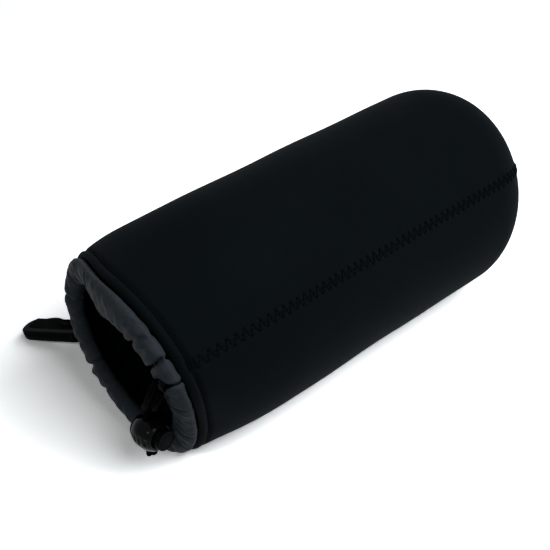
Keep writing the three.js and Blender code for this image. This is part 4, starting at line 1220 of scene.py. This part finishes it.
def cord_braid():
    finish = Finish("round_braid", Specular_IOR_Level=0.004, Sheen_Weight=0.001)
    along, across = (length / (0.32 * MM) for length in finish.lengths())
    grain = finish.noise(1800, 3, 0.7)
    fibre = (along + across).wave() * (along - across).wave()
    # Light specks: a painted highlight, lighter colour in small spots where the braid would catch the
    # light, and a little glossier there
    painted_glint = finish.ramp(finish.noise(1300, 1, 0.5), 0.62, 0.74)
    share, rough = grain * 0.5 + fibre * 0.35 + painted_glint * 0.5, 0.62 - painted_glint * 0.25
    finish.coloured((0.0003, 0.0003, 0.0004), (0.0012, 0.0011, 0.0014), share, rough)
    return finish.bumps((grain, 0.06), (fibre, 0.07))


def webbing():
    finish = Finish("woven_webbing", Specular_IOR_Level=0.10, Sheen_Weight=0.01)
    along, across = finish.lengths()
    grain = finish.noise(1500, 3, 0.7)
    cloudy = finish.noise(90, 2, 0.5)
    pick = (along / (1.05 * MM) + ((across / (1.55 * MM)).wave() - 0.5) * 0.9).wave()
    fibre = (across / (0.26 * MM)).wave()
    share, rough = pick * 0.45 + grain * 0.35 + cloudy * 0.2, 0.62 + grain * 0.2
    finish.coloured((0.0024, 0.0030, 0.0035), (0.0080, 0.0092, 0.0102), share, rough)
    return finish.bumps((pick, 0.13), (grain, 0.04), (fibre, 0.03))


sewing_thread, round_braid, woven_webbing = thread(), cord_braid(), webbing()
print("thread finishes", sewing_thread.name, round_braid.name, woven_webbing.name)

# %% [markdown]
# The lock and the hook are moulded black plastic. The lock is glossier. Both have a faint orange
# peel, and slight scuffs raise their roughness in places. The coil is drawn steel.


# %% Plastics and steel
def moulded(name, dark, light, smooth, scuffed, shine):
    finish = Finish(name, Specular_IOR_Level=shine)
    peel = finish.noise(650, 2, 0.5)
    cloudy = finish.noise(130, 3, 0.6)
    scuff = finish.ramp(finish.noise(260, 4, 0.75), 0.56, 0.72)
    rough = smooth + scuff * (scuffed - smooth) + peel * 0.06
    finish.coloured(dark, light, cloudy * 0.6 + scuff * 0.4, rough)
    return finish.bumps((cloudy, 0.05), (peel, 0.018))


def steel():
    finish = Finish("spring_wire", Metallic=1.0)
    drawn = finish.noise(1700, 2, 0.6)
    finish.coloured((0.42, 0.43, 0.45), (0.62, 0.63, 0.65), drawn, 0.24 + drawn * 0.16)
    return finish.bumps((drawn, 0.01))


lock_plastic, button_plastic, hook_plastic = (
    moulded(name + "_plastic", *looks) for name, *looks in (
        # name, darkest, lightest, roughness where smooth and where scuffed, and shine
        ("lock", (0.0011, 0.0012, 0.0015), (0.0023, 0.0025, 0.0029), 0.10, 0.18, 0.045),
        ("button", (0.0007, 0.0011, 0.0011), (0.0016, 0.0022, 0.0023), 0.34, 0.46, 0.010),
        ("hook", (0.0005, 0.0007, 0.0010), (0.0012, 0.0016, 0.0021), 0.28, 0.44, 0.006),
    )
)
spring_wire = steel()
print("finishes", len(bpy.data.materials))

# %% [markdown]
# ## Each piece takes its finish, its body and the part that it stands for
# One table says it all, so nothing is left without a finish or a body.

# %% Table of pieces
TABLE = [
    # piece, finish, slot, body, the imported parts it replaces
    (tube, black_jersey, "neoprene", "pouch", ["tube_panel"]),
    (base, black_jersey, "neoprene", "pouch", ["base_disc"]),
    (side_band, black_jersey, "neoprene", "pouch", []),
    (side_thread, sewing_thread, "seam_thread", "pouch", ["side_seam_thread"]),
    (base_band, black_jersey, "neoprene", "pouch", []),
    (base_thread, sewing_thread, "seam_thread", "pouch", ["base_seam_thread"]),
    (hem_stitches, sewing_thread, "seam_thread", "pouch", ["hem_thread"]),
    (channel, thin_nylon, "nylon", "pouch", ["drawstring_channel"]),
    (loop, round_braid, "braided_cord", "pouch", ["drawcord_loop"]),
    (upper_strand, round_braid, "braided_cord", "pouch", ["drawcord_upper_strand"]),
    (lower_strand, round_braid, "braided_cord", "pouch", ["drawcord_lower_strand"]),
    (knot, round_braid, "braided_cord", "pouch", ["drawcord_knot"]),
    (barrel, lock_plastic, "lock_plastic", "cord_lock", ["cord_lock_barrel"]),
    (coil, spring_wire, "spring_steel", "cord_lock", ["cord_lock_spring"]),
    (button, button_plastic, "lock_plastic", "lock_button", ["cord_lock_plunger"]),
    (hook_body, hook_plastic, "hook_plastic", "hook", ["hook_body"]),
    (collar, hook_plastic, "hook_plastic", "hook", []),
    (gate, hook_plastic, "hook_plastic", "gate", ["hook_gate"]),
    (hook_eye, hook_plastic, "hook_plastic", "eye", ["hook_eye"]),
    (tab, woven_webbing, "webbing", "pouch", ["hook_tab"]),
    (strap, woven_webbing, "webbing", "pouch", ["belt_strap"]),
    (front_tack, sewing_thread, "seam_thread", "pouch", ["belt_strap_front_tack"]),
    (rear_tack, sewing_thread, "seam_thread", "pouch", ["belt_strap_rear_tack"]),
]
for piece, finish, slot_name, body, nodes in TABLE:
    piece.data.materials.clear()
    piece.data.materials.append(finish)
    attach(piece, body)
    if nodes:
        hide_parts(*nodes)
coil_foot = tuple(in_lock((0, 0, coil_low)) * MM)
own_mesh(coil)
for piece, path, others in (
    (upper_strand, upper_path, [knot, barrel, button, coil]),
    (lower_strand, lower_path, []),
):
    tuple(path[0] * MM)
    round(length_of(path) * MM, 4)
    [tuple(p * MM) for p in path[::4]]
    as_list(others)
print("pieces", len(TABLE), "replaced parts", sum(len(row[4]) for row in TABLE))

# %% [markdown]
# ## Floor and lights
# A plain pale floor, which stays white towards the horizon, a white world behind it, and two large
# soft lights high on the near side, which throw the soft shadow in front of the mouth. A small
# light at the left gives the bright spot on the lock's ball.

# %% Floor
FLOOR_HALF = 3.0
WHITE_FROM, WHITE_PAST = 0.45, 1.1
corners = [(x * FLOOR_HALF, y * FLOOR_HALF, 0) for x, y in ((-1, -1), (1, -1), (1, 1), (-1, 1))]
floor_mesh = bpy.data.meshes.new("floor")
floor_mesh.from_pydata(corners, [], [(0, 1, 2, 3)])
floor_piece = in_scene("floor", floor_mesh)
table_top = Finish("white_table", Specular_IOR_Level=0.1, Emission_Strength=1.0)
grain = table_top.noise(6, 3, 0.5)
from_middle = table_top.node("ShaderNodeVectorMath", {"operation": "LENGTH"}, {0: table_top.place()}, 1)
far = table_top.ramp(from_middle, WHITE_FROM, WHITE_PAST)
table_top.coloured((0.90, 0.93, 0.945), (0.93, 0.955, 0.965), grain, 0.85 + grain * 0.05)
table_top.vary(Emission_Color=table_top.between((0, 0, 0), (1, 1, 1), far))
table_top.seen_brighter((1.0, 1.0, 1.0), (0.12, 0.125, 0.13))
floor_mesh.materials.append(table_top.material)
print("floor metres", 2 * FLOOR_HALF)

# %% World and lights
UNSEEN_SKY = 0.09
world = bpy.data.worlds.new("pale_room")
bpy.context.scene.world = world
world.use_nodes = True
sky = Nodes(world.node_tree)
background = world.node_tree.nodes["Background"]
background.inputs["Color"].default_value = (0.96, 0.98, 1.0, 1.0)
sky.feed(background.inputs["Strength"], sky.seen().most(UNSEEN_SKY))
LIGHTS = (
    # name, place and aim in metres, width, watts and colour
    ("top", (0.46, -0.72, 1.06), (-0.02, 0, 0.03), 0.8, 6.5, (0.99, 1.0, 1.0)),
    ("spark", (-0.83, -0.18, 0.69), (-0.12, -0.02, 0.03), 0.06, 1.6, (1.0, 0.99, 0.97)),
    ("key", (0.00, -0.80, 1.06), (-0.03, 0, 0.02), 0.9, 10.5, (0.97, 0.99, 1.0)),
)
for name, place, towards, wide, watts, colour in LIGHTS:
    light = bpy.data.lights.new(name, "AREA")
    light.shape, light.size, light.energy, light.color = "DISK", wide, watts, colour
    aimed(in_scene(name, light), place, towards)
print("lights", len(LIGHTS))
